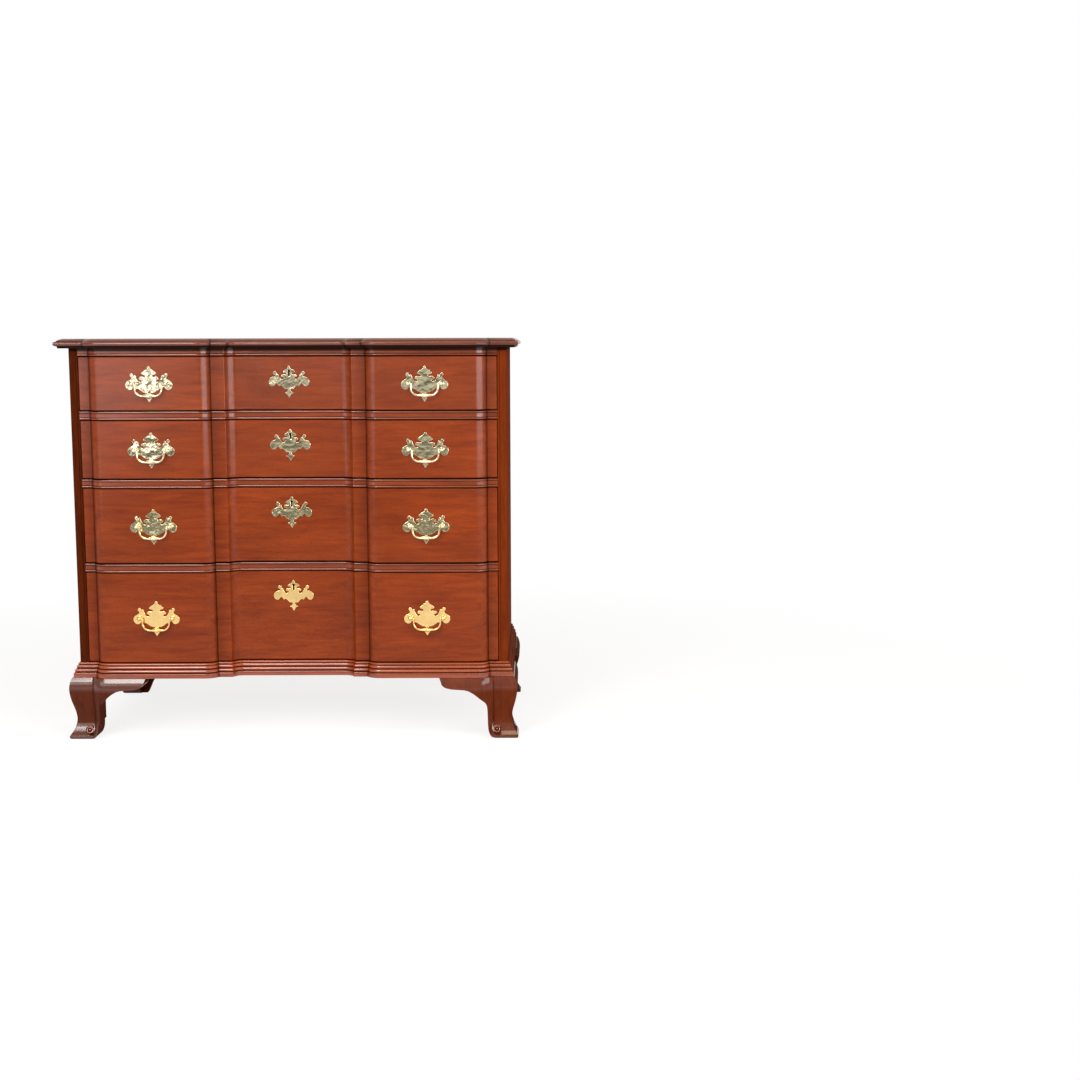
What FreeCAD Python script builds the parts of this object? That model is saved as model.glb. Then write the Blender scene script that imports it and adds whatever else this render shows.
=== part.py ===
import FreeCAD, Part
import math
import os
import re
import Sketcher

# Block front chest of drawers.  Millimetres.  X runs along the front, -Y is the front, Z is up.
# The origin lies on the floor under the middle of the top board.

doc = FreeCAD.newDocument("block_front_chest")
sizes = doc.addObject("Spreadsheet::Sheet", "sizes")

DRIVING = {
    # case
    "case_width": 914,
    "case_depth": 450,
    "side_thickness": 19,
    "back_thickness": 8,
    "back_rebate": 9,
    "bottom_thickness": 19,
    "opening_height_1": 115,
    "opening_height_2": 125,
    "opening_height_3": 161,
    "opening_height_4": 195,
    "blade_thickness": 18,
    "blade_depth": 60,
    "blade_projection": 1.5,
    "rail_height": 16,
    # blocking: a sunk middle and two raised blocks, joined by a hollow and a round
    "recess_half_width": 133,
    "recess_depth": 16,
    "recess_curve": 24,
    "strip_width": 29,
    "end_strip": 22,
    "raise_height": 16,
    "raise_curve": 24,
    # top board and its moulded edge
    "top_thickness": 20,
    "top_side_overhang": 25.5,
    "top_front_overhang": 24,
    "top_lip": 3,
    "top_lip_run": 6,
    "top_step": 8,
    "top_step_height": 2,
    "top_nose_drop": 11.5,
    "top_nose_return": 7,
    # base moulding: stepped beads over a plain fascia
    "base_height": 31,
    "base_top_projection": 2,
    "base_bead_projection": 7,
    "base_second_projection": 11,
    "base_projection": 15,
    "base_bead_height": 8,
    "base_fascia": 9,
    "base_rail_depth": 40,
    # ogee bracket feet
    "foot_height": 133,
    "foot_top_projection": 15,
    "foot_bulge": 21.5,
    "foot_bulge_drop": 25,
    "foot_ankle": 8.6,
    "foot_ankle_height": 46,
    "foot_toe": 24,
    "foot_toe_height": 8,
    "foot_pad": 21,
    "foot_thickness": 20,
    "foot_reach": 145,
    "foot_ankle_width": 42.8,
    "foot_heel_run": 11,
    "foot_heel_height": 20,
    "foot_arch_drop": 63,
    "foot_arch_radius": 30,
    "foot_arch_run": 19,
    "foot_arch_rise": 22,
    "foot_slope_run": 49.5,
    "foot_tip_drop": 25,
    "foot_tip_radius": 22,
    "foot_trim": 16,
    "glue_line": 0.1,
    "rear_bracket_thickness": 19,
    "rear_heel": 34,
    "rear_waist": 50,
    "rear_waist_height": 34,
    "rear_slope": 98,
    "rear_slope_height": 88,
    "glue_block": 20,
    "glue_block_floor_gap": 34,
    # drawers
    "drawer_gap": 1.25,
    "drawer_front_thickness": 30,
    "drawer_lap": 16,
    "drawer_side_thickness": 12,
    "drawer_side_drop": 3,
    "drawer_back_thickness": 12,
    "drawer_back_drop": 6,
    "drawer_rear_gap": 12,
    "drawer_bottom_thickness": 7,
    "drawer_bottom_lift": 10,
    "drawer_groove": 6,
    "groove_clearance": 0.2,
    "runner_width": 50,
    "stop_length": 60,
    "stop_width": 14,
    "stop_height": 5,
    # pulls
    "pull_boring": 70,
    "pull_inset": 2,
    "plate_width": 98,
    "plate_rise": 37,
    "plate_fall": 39.1,
    "plate_thickness": 1.6,
    "post_diameter": 6,
    "post_head_diameter": 10,
    "post_head_length": 12,
    "post_bore_clearance": 0.1,
    "pivot_stand_off": 7.5,
    "bail_diameter": 4,
    "bail_pin_clearance": 0.08,
    "bail_side_gap": 0.6,
    "bail_drop": 25,
    "bail_corner": 14,
    "bail_shoulder": 2.4,
    "bail_swell_diameter": 9,
    "bail_swell_length": 26,
    "nut_width": 11,
    "nut_thickness": 4,
    # escutcheons and locks
    "escutcheon_width": 85.6,
    "escutcheon_rise": 10.8,
    "escutcheon_fall": 56.6,
    "escutcheon_thickness": 1.6,
    "keyhole_drop": 30.5,
    "keyhole_diameter": 5.6,
    "keyhole_slot": 11.2,
    "keyhole_slot_width": 3.4,
    "lock_width": 60,
    "lock_height": 44,
    "lock_thickness": 10,
    "lock_bolt_width": 22,
    "lock_bolt_thickness": 5,
    "lock_bolt_length": 30,
    "lock_bolt_clearance": 0.3,
    "mortise_clearance": 1.5,
    "mortise_depth": 9,
}

for row, (alias, number) in enumerate(DRIVING.items(), start=1):
    sizes.set("A%d" % row, alias)
    sizes.set("B%d" % row, str(number))
    sizes.setAlias("B%d" % row, alias)
doc.recompute()


# Expressions ---------------------------------------------------------------

def cell(text):
    """The text as a document expression: each size's name points at its cell."""
    return re.sub(r"[a-z][a-z_0-9]+", lambda name: "sizes." + name.group()
                  if name.group() in DRIVING else name.group(), text)


def number(text):
    """Value of an expression on the sheet."""
    return float(sizes.evalExpression(cell(text)))


def bind(thing, property_name, text):
    """Drives a property from an expression on the sheet."""
    thing.setExpression(property_name, cell(text))


def minus(text):
    """An expression with its sign turned round."""
    return "-(" + text + ")"


def mirrored(low, high):
    """The range low to high on the right, and its mirror image on the left."""
    return ((minus(high), minus(low)), (low, high))


FRONT = "(-(case_depth - raise_height - top_front_overhang) / 2)"
BACK = "((case_depth + raise_height + top_front_overhang) / 2)"
HALF_CASE = "(case_width / 2)"
HALF_OPENING = "(case_width / 2 - side_thickness)"
BLOCK_INNER = "(recess_half_width + strip_width)"
BLOCK_OUTER = "(case_width / 2 - side_thickness - end_strip)"
BLOCK_MIDDLE = "((" + BLOCK_INNER + " + " + BLOCK_OUTER + ") / 2)"
PULL_MIDDLE = "(" + BLOCK_MIDDLE + " - pull_inset)"
BASE_TOP = "(foot_height + base_height)"
DRAWERS = (1, 2, 3, 4)

OPENING_FROM = {}
OPENING_TO = {}
level = BASE_TOP
for drawer in reversed(DRAWERS):
    OPENING_FROM[drawer] = level
    OPENING_TO[drawer] = level + " + opening_height_%d" % drawer
    level = OPENING_TO[drawer] + " + blade_thickness"
TOP_FROM = OPENING_TO[1] + " + rail_height"
TOP_TO = TOP_FROM + " + top_thickness"


# Building blocks -----------------------------------------------------------

def board(label, x_range, y_range, z_range):
    """A squared board between two expressions along each axis."""
    box = doc.addObject("Part::Box", label)
    for axis, side, (low, high) in zip("xyz", ("Length", "Width", "Height"), (x_range, y_range, z_range)):
        bind(box, "Placement.Base." + axis, low)
        bind(box, side, "(" + high + ") - (" + low + ")")
    return box


def group(label, pieces):
    """Separate solids of one kind, kept together as one sub-part."""
    compound = doc.addObject("Part::Compound", label)
    compound.Links = pieces
    return compound


def cylinder(label, diameter, length, x, y, z, axis=FreeCAD.Vector(0, 0, 1)):
    """A round bar that starts at x, y, z and runs along the axis."""
    rod = doc.addObject("Part::Cylinder", label)
    rod.Placement.Rotation = FreeCAD.Rotation(FreeCAD.Vector(0, 0, 1), axis)
    bind(rod, "Radius", "(" + diameter + ") / 2")
    bind(rod, "Height", length)
    for name, text in zip("xyz", (x, y, z)):
        bind(rod, "Placement.Base." + name, text)
    return rod


def cut(label, base, tools):
    """The base with the tools taken away."""
    result = doc.addObject("Part::Cut", label)
    result.Base = base
    result.Tool = tools[0] if len(tools) == 1 else fuse(label + "_tools", tools)
    return result


def fuse(label, pieces):
    """One solid from several."""
    result = doc.addObject("Part::MultiFuse", label)
    result.Shapes = pieces
    return result


def common(label, first, second):
    """What two solids share."""
    result = doc.addObject("Part::MultiCommon", label)
    result.Shapes = [first, second]
    return result


def plane(body, role):
    """One of the body's own origin planes."""
    return [feature for feature in body.Origin.OriginFeatures if feature.Role == role][0]


def sketch_on(body, role, offset="0"):
    """An empty sketch on one of the body's own planes, moved along its normal."""
    sketch = body.newObject("Sketcher::SketchObject", body.Name + "_outline")
    sketch.AttachmentSupport = [(plane(body, role), "")]
    sketch.MapMode = "FlatFace"
    bind(sketch, "AttachmentOffset.Base.z", offset)
    return sketch


def pin_point(sketch, edge, end, place):
    """Hold the end of an edge at a place given by two expressions."""
    for kind, axis, text in (("DistanceX", -2, place[0]), ("DistanceY", -1, place[1])):
        if abs(number(text)) < 1e-9:
            sketch.addConstraint(Sketcher.Constraint("PointOnObject", edge, end, axis))
        else:
            index = sketch.addConstraint(Sketcher.Constraint(kind, -1, 1, edge, end, number(text)))
            bind(sketch, "Constraints[%d]" % index, text)


def trace(sketch, places, closed=True):
    """Draw a line through places of the form (x, y) or (x, y, radius, turn).

    With a radius the edge that follows the place is an arc of that radius.  It turns left (1) or
    right (-1).
    """
    count = len(places)
    edges = count if closed else count - 1
    ends = []
    for index in range(edges):
        here = places[index]
        after = places[(index + 1) % count]
        start = FreeCAD.Vector(number(here[0]), number(here[1]), 0)
        stop = FreeCAD.Vector(number(after[0]), number(after[1]), 0)
        if len(here) == 2:
            sketch.addGeometry(Part.LineSegment(start, stop))
            ends.append((1, 2))
            continue
        radius = number(here[2])
        chord = stop - start
        rise = math.sqrt(max(radius ** 2 - chord.Length ** 2 / 4, 0))
        normal = FreeCAD.Vector(-chord.y, chord.x, 0).normalize()
        centre = (start + stop) / 2 + normal * rise * here[3]
        first, last = (start, stop) if here[3] > 0 else (stop, start)
        angles = [math.atan2(point.y - centre.y, point.x - centre.x) for point in (first, last)]
        circle = Part.Circle(centre, FreeCAD.Vector(0, 0, 1), radius)
        sketch.addGeometry(Part.ArcOfCircle(circle, angles[0], angles[1]))
        ends.append((1, 2) if here[3] > 0 else (2, 1))
    for index in range(edges if closed else edges - 1):
        after = (index + 1) % edges
        joint = Sketcher.Constraint("Coincident", index, ends[index][1], after, ends[after][0])
        sketch.addConstraint(joint)
    for index in range(edges):
        pin_point(sketch, index, ends[index][0], places[index])
        if len(places[index]) > 2:
            radius = places[index][2]
            constraint = sketch.addConstraint(Sketcher.Constraint("Radius", index, number(radius)))
            bind(sketch, "Constraints[%d]" % constraint, radius)
    if not closed:
        pin_point(sketch, edges - 1, ends[-1][1], places[-1])


def plate(label, role, places, offset, thickness, back=False):
    """A body padded from one closed outline on an origin plane."""
    body = doc.addObject("PartDesign::Body", label)
    outline = sketch_on(body, role, offset)
    trace(outline, places)
    pad = body.newObject("PartDesign::Pad", label + "_pad")
    pad.Profile = outline
    bind(pad, "Length", thickness)
    pad.Reversed = back
    body.Tip = pad
    return body


def layers(label, outlines):
    """A body lofted straight through outlines given as (height, places)."""
    body = doc.addObject("PartDesign::Body", label)
    sketches = []
    for height, places in outlines:
        outline = sketch_on(body, "XY_Plane", height)
        trace(outline, places)
        sketches.append(outline)
    loft = body.newObject("PartDesign::AdditiveLoft", label + "_loft")
    loft.Profile = sketches[0]
    loft.Sections = sketches[1:]
    loft.Ruled = True
    body.Tip = loft
    return body


# Blocking: the plan line that the whole front follows ----------------------

def round_arris(projection):
    """Run of the round at a projection, from the flat of the block to the strip beside it."""
    return "sqrt(raise_curve ^ 2 + raise_height * (" + projection + "))"


def hollow_arris(projection):
    """Run of the hollow at a projection, from the sunk middle to the strip beside it."""
    return "sqrt(recess_curve ^ 2 - recess_depth * (" + projection + "))"


def block_ends(projection):
    """From the middle out: where the hollow, the round and the outer round start and stop."""
    inner_flat = "(" + BLOCK_INNER + " + raise_curve)"
    outer_flat = "(" + BLOCK_OUTER + " - raise_curve)"
    hollow = "(recess_half_width - recess_curve)"
    return (hollow, hollow + " + " + hollow_arris(projection), inner_flat + " - " + round_arris(projection),
            inner_flat, outer_flat, outer_flat + " + " + round_arris(projection))


def round_radius(projection):
    """Radius of the round in plan at a projection."""
    return "(raise_curve ^ 2 + raise_height ^ 2) / (2 * raise_height) + (" + projection + ") / 2"


def hollow_radius(projection):
    """Radius of the hollow in plan at a projection."""
    return "(recess_curve ^ 2 + recess_depth ^ 2) / (2 * recess_depth) - (" + projection + ") / 2"


def outer_round(side, projection):
    """Plan line of the round at the outer end of the block, from the corner inwards on side -1."""
    ends = block_ends(projection)
    flat = FRONT + " - (" + projection + ")"
    raised = flat + " - raise_height"
    if side < 0:
        return [(minus(ends[5]), flat, round_radius(projection), 1), (minus(ends[4]), raised)]
    return [(ends[4], raised, round_radius(projection), 1), (ends[5], flat)]


def front_line(projection):
    """Plan line of the blocked front from left to right, without its two ends."""
    hollow, hollow_edge, inner_edge, inner_flat, outer_flat, outer_edge = block_ends(projection)
    flat = FRONT + " - (" + projection + ")"
    raised = flat + " - raise_height"
    sunk = flat + " + recess_depth"
    convex = round_radius(projection)
    concave = hollow_radius(projection)
    return [
        (minus(outer_edge), flat, convex, 1), (minus(outer_flat), raised),
        (minus(inner_flat), raised, convex, 1), (minus(inner_edge), flat),
        (minus(hollow_edge), flat, concave, -1), (minus(hollow), sunk),
        (hollow, sunk, concave, -1), (hollow_edge, flat),
        (inner_edge, flat, convex, 1), (inner_flat, raised),
        (outer_flat, raised, convex, 1), (outer_edge, flat),
    ]


def blocked_board(projection, half_width, back):
    """Closed plan of a board between the sides, with a blocked front and a straight back."""
    flat = FRONT + " - (" + projection + ")"
    ends = [(half_width, flat), (half_width, back), (minus(half_width), back), (minus(half_width), flat)]
    return front_line(projection) + ends


# Top board: blocked front, moulded on the front and both ends --------------

def top_plan(inset):
    """Plan of the top board at one step of its edge."""
    projection = "(top_front_overhang - (" + inset + "))"
    half_width = HALF_CASE + " + top_side_overhang - (" + inset + ")"
    return blocked_board(projection, half_width, BACK)


NOSE = TOP_TO + " - top_nose_drop"
layers("top_board", [
    (TOP_FROM, top_plan("top_nose_return")),
    (TOP_FROM + " + top_thickness / 10", top_plan("top_nose_return / 3")),
    (NOSE, top_plan("0")),
    (NOSE + " + top_thickness / 6", top_plan("top_step / 8")),
    (TOP_TO + " - top_lip - top_step_height", top_plan("top_step * 0.6")),
    (TOP_TO + " - top_lip - top_step_height / 2", top_plan("top_step")),
    (TOP_TO + " - top_lip", top_plan("top_step")),
    (TOP_TO + " - top_lip / 3", top_plan("top_step + top_lip_run / 3")),
    (TOP_TO, top_plan("top_step + top_lip_run")),
])


# Case: sides, back, bottom, top rail and blades ----------------------------

def case_side(label, side):
    """A side with a rebate for the back panel on its inner rear edge."""
    x_range = mirrored(HALF_OPENING, HALF_CASE)[side]
    rebate = mirrored(HALF_OPENING, HALF_OPENING + " + back_rebate")[side]
    panel = board(label + "_board", x_range, (FRONT, BACK), ("foot_height", TOP_FROM))
    groove = board(label + "_rebate", rebate, (BACK + " - back_thickness", BACK),
                   ("foot_height", TOP_FROM))
    return cut(label, panel, [groove])


case_side("case_side_left", 0)
case_side("case_side_right", 1)

BACK_HALF = HALF_OPENING + " + back_rebate"
BACK_FACE = BACK + " - back_thickness"
board("back_panel", (minus(BACK_HALF), BACK_HALF), (BACK_FACE, BACK), ("foot_height", TOP_FROM))

RAIL_BACK = "(" + FRONT + " + blade_depth)"
BOLT_Y = "(" + FRONT + " + drawer_front_thickness - lock_thickness / 2)"


def mortise(label, underside):
    """Pocket for the lock bolt in the underside of a rail."""
    half = "(lock_bolt_width / 2 + mortise_clearance)"
    reach = "(lock_bolt_thickness / 2 + mortise_clearance)"
    return board(label, (minus(half), half), (BOLT_Y + " - " + reach, BOLT_Y + " + " + reach),
                 (underside, underside + " + mortise_depth"))


def rail(label, underside, height):
    """A blocked rail across the opening, with a bolt mortise underneath."""
    plan = blocked_board("blade_projection", HALF_OPENING, RAIL_BACK)
    blank = plate(label + "_blank", "XY_Plane", plan, underside, height)
    return cut(label, blank, [mortise(label + "_mortise", underside)])


rail("top_rail", OPENING_TO[1], "rail_height")
group("drawer_blades", [rail("blade_%d" % drawer, OPENING_TO[drawer], "blade_thickness")
                        for drawer in DRAWERS[1:]])

BOTTOM_Z = (BASE_TOP + " - bottom_thickness", BASE_TOP)
board("bottom_board", (minus(HALF_OPENING), HALF_OPENING),
      (FRONT + " + base_rail_depth", BACK_FACE), BOTTOM_Z)


# Base moulding, mitred at the front corners --------------------------------

BASE_STEPS = [
    ("foot_height", "base_projection"),
    ("foot_height + base_fascia", "base_projection"),
    (BASE_TOP + " - 2 * base_bead_height", "base_second_projection"),
    (BASE_TOP + " - 1.5 * base_bead_height", "base_second_projection - base_bead_height / 3"),
    (BASE_TOP + " - base_bead_height", "base_bead_projection"),
    (BASE_TOP + " - base_bead_height / 4", "base_bead_projection / 2"),
    (BASE_TOP, "base_top_projection"),
]


def base_front_plan(projection):
    """Front moulding: it covers the ends of the sides and backs up to the bottom board."""
    corner = HALF_CASE + " + " + projection
    flat = FRONT + " - (" + projection + ")"
    back = FRONT + " + base_rail_depth"
    return front_line(projection) + [
        (corner, flat), (HALF_CASE, FRONT), (HALF_OPENING, FRONT), (HALF_OPENING, back),
        (minus(HALF_OPENING), back), (minus(HALF_OPENING), FRONT), (minus(HALF_CASE), FRONT),
        (minus(corner), flat)]


layers("base_moulding_front",
       [(height, base_front_plan(projection)) for height, projection in BASE_STEPS])


def base_side_plan(side, projection):
    """Side moulding, mitred to the front one and cut square at the back."""
    corner = HALF_CASE + " + " + projection
    flat = FRONT + " - (" + projection + ")"
    places = [(HALF_CASE, FRONT), (corner, flat), (corner, BACK), (HALF_CASE, BACK)]
    return places if side > 0 else [(minus(x), y) for x, y in reversed(places)]


group("base_moulding_sides", [
    layers("base_side_" + name,
           [(height, base_side_plan(side, projection)) for height, projection in BASE_STEPS])
    for side, name in ((-1, "left"), (1, "right"))])


# Ogee bracket feet ---------------------------------------------------------

FOOT_STEPS = [
    ("0", "foot_pad"),
    ("foot_toe_height / 3", "foot_toe"),
    ("foot_toe_height", "foot_toe"),
    ("foot_toe_height + (foot_ankle_height - foot_toe_height) * 0.25", "(foot_ankle + foot_toe) / 2"),
    ("foot_toe_height + (foot_ankle_height - foot_toe_height) * 0.55", "foot_ankle + foot_toe / 10"),
    ("foot_ankle_height", "foot_ankle"),
    ("foot_ankle_height + (foot_height - foot_bulge_drop - foot_ankle_height) * 0.3", "foot_ankle + 2.5"),
    ("foot_ankle_height + (foot_height - foot_bulge_drop - foot_ankle_height) * 0.65", "foot_bulge - 4"),
    ("foot_height - foot_bulge_drop", "foot_bulge"),
    ("foot_height - foot_bulge_drop * 0.4", "foot_bulge - 2.5"),
    ("foot_height", "foot_top_projection"),
]


def arch(inner, direction, start):
    """Elevation of a bracket: heel, upright ankle, arch and rounded tip.

    It runs from `start` in `direction`, 1 or -1, and begins `inner` before the case's corner.
    """
    def along(distance):
        return start + " + %d * (" % direction + distance + ")"
    spring = "foot_height - foot_arch_drop"
    tip = "foot_height - foot_tip_drop"
    return [
        (along(inner), "0"), (along("foot_ankle_width - foot_heel_run"), "0"),
        (along("foot_ankle_width"), "foot_heel_height"),
        (along("foot_ankle_width"), spring, "foot_arch_radius", -direction),
        (along("foot_ankle_width + foot_arch_run"), spring + " + foot_arch_rise"),
        (along("foot_ankle_width + foot_slope_run"), tip),
        (along("foot_reach - foot_tip_radius"), tip, "foot_tip_radius", direction),
        (along("foot_reach - foot_tip_radius / 5"), "foot_height - foot_tip_drop / 2"),
        (along("foot_reach"), "foot_height"), (along(inner), "foot_height")]


def front_wing_plan(side, projection):
    """Mitred front bracket, which carries the outer end of the block."""
    corner = HALF_CASE + " + " + projection
    flat = FRONT + " - (" + projection + ")"
    inner = HALF_CASE + " - foot_thickness"
    tip = HALF_CASE + " - foot_reach - foot_trim"
    rear = FRONT + " + foot_thickness"
    round_start, round_stop = outer_round(-1, projection)
    places = [(minus(corner), flat), round_start, round_stop, (minus(tip), round_stop[1]),
              (minus(tip), rear), (minus(inner), rear)]
    if side < 0:
        return places
    round_start, round_stop = outer_round(1, projection)
    return [(corner, flat), (inner, rear), (tip, rear), (tip, round_start[1]), round_start, round_stop]


def side_wing_plan(side, projection, rear_end):
    """Side bracket.

    At the front it is mitred to the front bracket over a glue line.  On the rear foot it ends
    square at the back.
    """
    outer = HALF_CASE + " + " + projection
    inner = HALF_CASE + " - foot_thickness"
    if rear_end:
        start = BACK + " - foot_reach - foot_trim"
        places = [(inner, start), (outer, start), (outer, BACK), (inner, BACK)]
    else:
        stop = FRONT + " + foot_reach + foot_trim"
        places = [(inner, FRONT + " + foot_thickness + glue_line"),
                  (outer, FRONT + " - (" + projection + ") + glue_line"),
                  (outer, stop), (inner, stop)]
    return places if side > 0 else [(minus(x), y) for x, y in reversed(places)]


def bracket(label, plans, role, elevation, offset, depth):
    """A bracket: its ogee block, trimmed to the elevation."""
    block = layers(label + "_ogee", plans)
    profile = plate(label + "_elevation", role, elevation, offset, depth)
    return common(label, block, profile)


def side_bracket(label, side, rear_end):
    """The bracket of a foot that stands along the side of the case."""
    plans = [(height, side_wing_plan(side, projection, rear_end)) for height, projection in FOOT_STEPS]
    if rear_end:
        elevation = arch("0", -1, BACK)
    else:
        elevation = arch("-foot_thickness - foot_toe", 1, FRONT)
    width = HALF_CASE + " + 2 * foot_bulge"
    offset = minus(width) if side < 0 else "0"
    return bracket(label, plans, "YZ_Plane", elevation, offset, width)


def front_bracket(label, side):
    """The bracket of a front foot that stands along the front."""
    plans = [(height, front_wing_plan(side, projection)) for height, projection in FOOT_STEPS]
    elevation = arch("-foot_thickness - foot_toe", -side, "%d * " % side + HALF_CASE)
    offset = minus(FRONT + " + 2 * foot_thickness")
    return bracket(label, plans, "XZ_Plane", elevation, offset, "4 * foot_thickness + 2 * foot_bulge")


def rear_bracket(label, side):
    """Plain board across the back of a rear foot, sawn to a long slope."""
    x_range = mirrored(HALF_CASE + " - foot_reach", HALF_CASE + " - foot_thickness")[max(side, 0)]
    blank = board(label + "_board", x_range, (BACK + " - rear_bracket_thickness", BACK),
                  ("0", "foot_height"))

    def along(distance):
        return "%d * (" % side + HALF_CASE + " - " + distance + ")"
    elevation = [(along("foot_thickness"), "0"), (along("rear_heel"), "0"),
                 (along("rear_waist"), "rear_waist_height"), (along("rear_slope"), "rear_slope_height"),
                 (along("foot_reach"), "foot_height"), (along("foot_thickness"), "foot_height")]
    profile = plate(label + "_elevation", "XZ_Plane", elevation, minus(BACK),
                    "2 * rear_bracket_thickness")
    return common(label, blank, profile)


for side, name in ((-1, "left"), (1, "right")):
    group("foot_front_" + name, [front_bracket("front_bracket_" + name, side),
                                 side_bracket("side_bracket_" + name, side, False)])
    group("foot_rear_" + name, [side_bracket("rear_side_bracket_" + name, side, True),
                                rear_bracket("rear_bracket_" + name, side)])

block_outer = HALF_CASE + " - foot_thickness"
glue_blocks = []
for index, x_range in enumerate(mirrored(block_outer + " - glue_block", block_outer)):
    front = FRONT + " + foot_thickness"
    rear = BACK + " - rear_bracket_thickness"
    z_range = ("glue_block_floor_gap", "foot_height")
    glue_blocks.append(board("front_glue_block_%d" % index, x_range,
                             (front, front + " + glue_block"), z_range))
    glue_blocks.append(board("rear_glue_block_%d" % index, x_range,
                             (rear + " - glue_block", rear), z_range))
group("glue_blocks", glue_blocks)


# Runners, kickers and stops ------------------------------------------------

runners = []
for x_index, x_range in enumerate(mirrored(HALF_OPENING + " - runner_width", HALF_OPENING)):
    y_range = (RAIL_BACK, BACK_FACE)
    for drawer in DRAWERS[1:]:
        z_range = (OPENING_TO[drawer], OPENING_TO[drawer] + " + blade_thickness")
        runners.append(board("runner_%d_%d" % (drawer, x_index), x_range, y_range, z_range))
    runners.append(board("kicker_%d" % x_index, x_range, y_range, (OPENING_TO[1], TOP_FROM)))
group("drawer_runners", runners)

stops = []
STOP_FROM = "(" + FRONT + " + drawer_front_thickness)"
for drawer in DRAWERS:
    stop_ends = (BLOCK_MIDDLE + " - stop_length / 2", BLOCK_MIDDLE + " + stop_length / 2")
    for x_index, x_range in enumerate(mirrored(*stop_ends)):
        z_range = (OPENING_FROM[drawer], OPENING_FROM[drawer] + " + stop_height")
        stops.append(board("stop_%d_%d" % (drawer, x_index), x_range,
                           (STOP_FROM, STOP_FROM + " + stop_width"), z_range))
group("drawer_stops", stops)


# Drawers -------------------------------------------------------------------

DRAWER_HALF = "(" + HALF_OPENING + " - drawer_gap)"
SIDE_INNER = "(" + DRAWER_HALF + " - drawer_side_thickness)"
FRONT_BACK = "(" + FRONT + " + drawer_front_thickness)"
SIDE_FROM = "(" + FRONT_BACK + " - drawer_lap)"
SIDE_TO = "(" + BACK_FACE + " - drawer_rear_gap)"
BLOCK_FACE = "(" + FRONT + " - raise_height)"
RECESS_FACE = "(" + FRONT + " + recess_depth)"
OUTWARD = FreeCAD.Vector(0, -1, 0)
INWARD = FreeCAD.Vector(0, 1, 0)
RIGHTWARD = FreeCAD.Vector(1, 0, 0)
LEFTWARD = FreeCAD.Vector(-1, 0, 0)


def drawer_levels(drawer):
    """Underside and top edge of the drawer front, and the height of its pulls."""
    low = OPENING_FROM[drawer] + " + drawer_gap"
    high = OPENING_TO[drawer] + " - drawer_gap"
    return low, high, "((" + low + " + " + high + ") / 2)"


def bottom_groove(drawer, x_range, y_range):
    """Groove that takes the edge of the drawer bottom."""
    low = OPENING_FROM[drawer] + " + drawer_bottom_lift"
    return board("groove_%d" % drawer, x_range, y_range,
                 (low, low + " + drawer_bottom_thickness + 2 * groove_clearance"))


def lock_space(drawer, label, growth):
    """The room of the lock case, let into the back and the top edge of the front."""
    half = "(lock_width / 2 + " + growth + ")"
    high = drawer_levels(drawer)[1]
    return board(label, (minus(half), half), (FRONT_BACK + " - lock_thickness - " + growth, FRONT_BACK),
                 (high + " - lock_height - " + growth, high))


def drawer_front(drawer):
    """Blocked front, rebated for the sides, grooved for the bottom and bored for pulls and key."""
    low, high, pull_z = drawer_levels(drawer)
    name = "drawer_front_%d" % drawer
    blank = plate(name + "_blank", "XY_Plane", blocked_board("0", DRAWER_HALF, FRONT_BACK), low,
                  "(" + high + ") - (" + low + ")")
    tools = [lock_space(drawer, name + "_lock_space", "0")]
    groove_from = FRONT_BACK + " - drawer_groove"
    tools.append(bottom_groove(drawer, (minus(SIDE_INNER), SIDE_INNER), (groove_from, FRONT_BACK)))
    for index, x_range in enumerate(mirrored(SIDE_INNER, DRAWER_HALF)):
        tools.append(board(name + "_rebate_%d" % index, x_range, (SIDE_FROM, FRONT_BACK), (low, high)))
    for index, post_x in enumerate(post_places()):
        tools.append(cylinder(name + "_bore_%d" % index, "post_diameter + 2 * post_bore_clearance",
                              "raise_height + drawer_front_thickness", post_x, BLOCK_FACE, pull_z, INWARD))
    key_z = high + " - keyhole_drop"
    depth = "drawer_front_thickness - recess_depth"
    tools.append(cylinder(name + "_keyhole", "keyhole_diameter", depth, "0", RECESS_FACE, key_z, INWARD))
    tools.append(board(name + "_keyslot", ("-keyhole_slot_width / 2", "keyhole_slot_width / 2"),
                       (RECESS_FACE, FRONT_BACK), (key_z + " - keyhole_slot", key_z)))
    return cut(name, blank, tools)


def post_places():
    """The four posts of a drawer, from left to right."""
    half = "pull_boring / 2"
    return [minus(PULL_MIDDLE) + " - " + half, minus(PULL_MIDDLE) + " + " + half,
            PULL_MIDDLE + " - " + half, PULL_MIDDLE + " + " + half]


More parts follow.
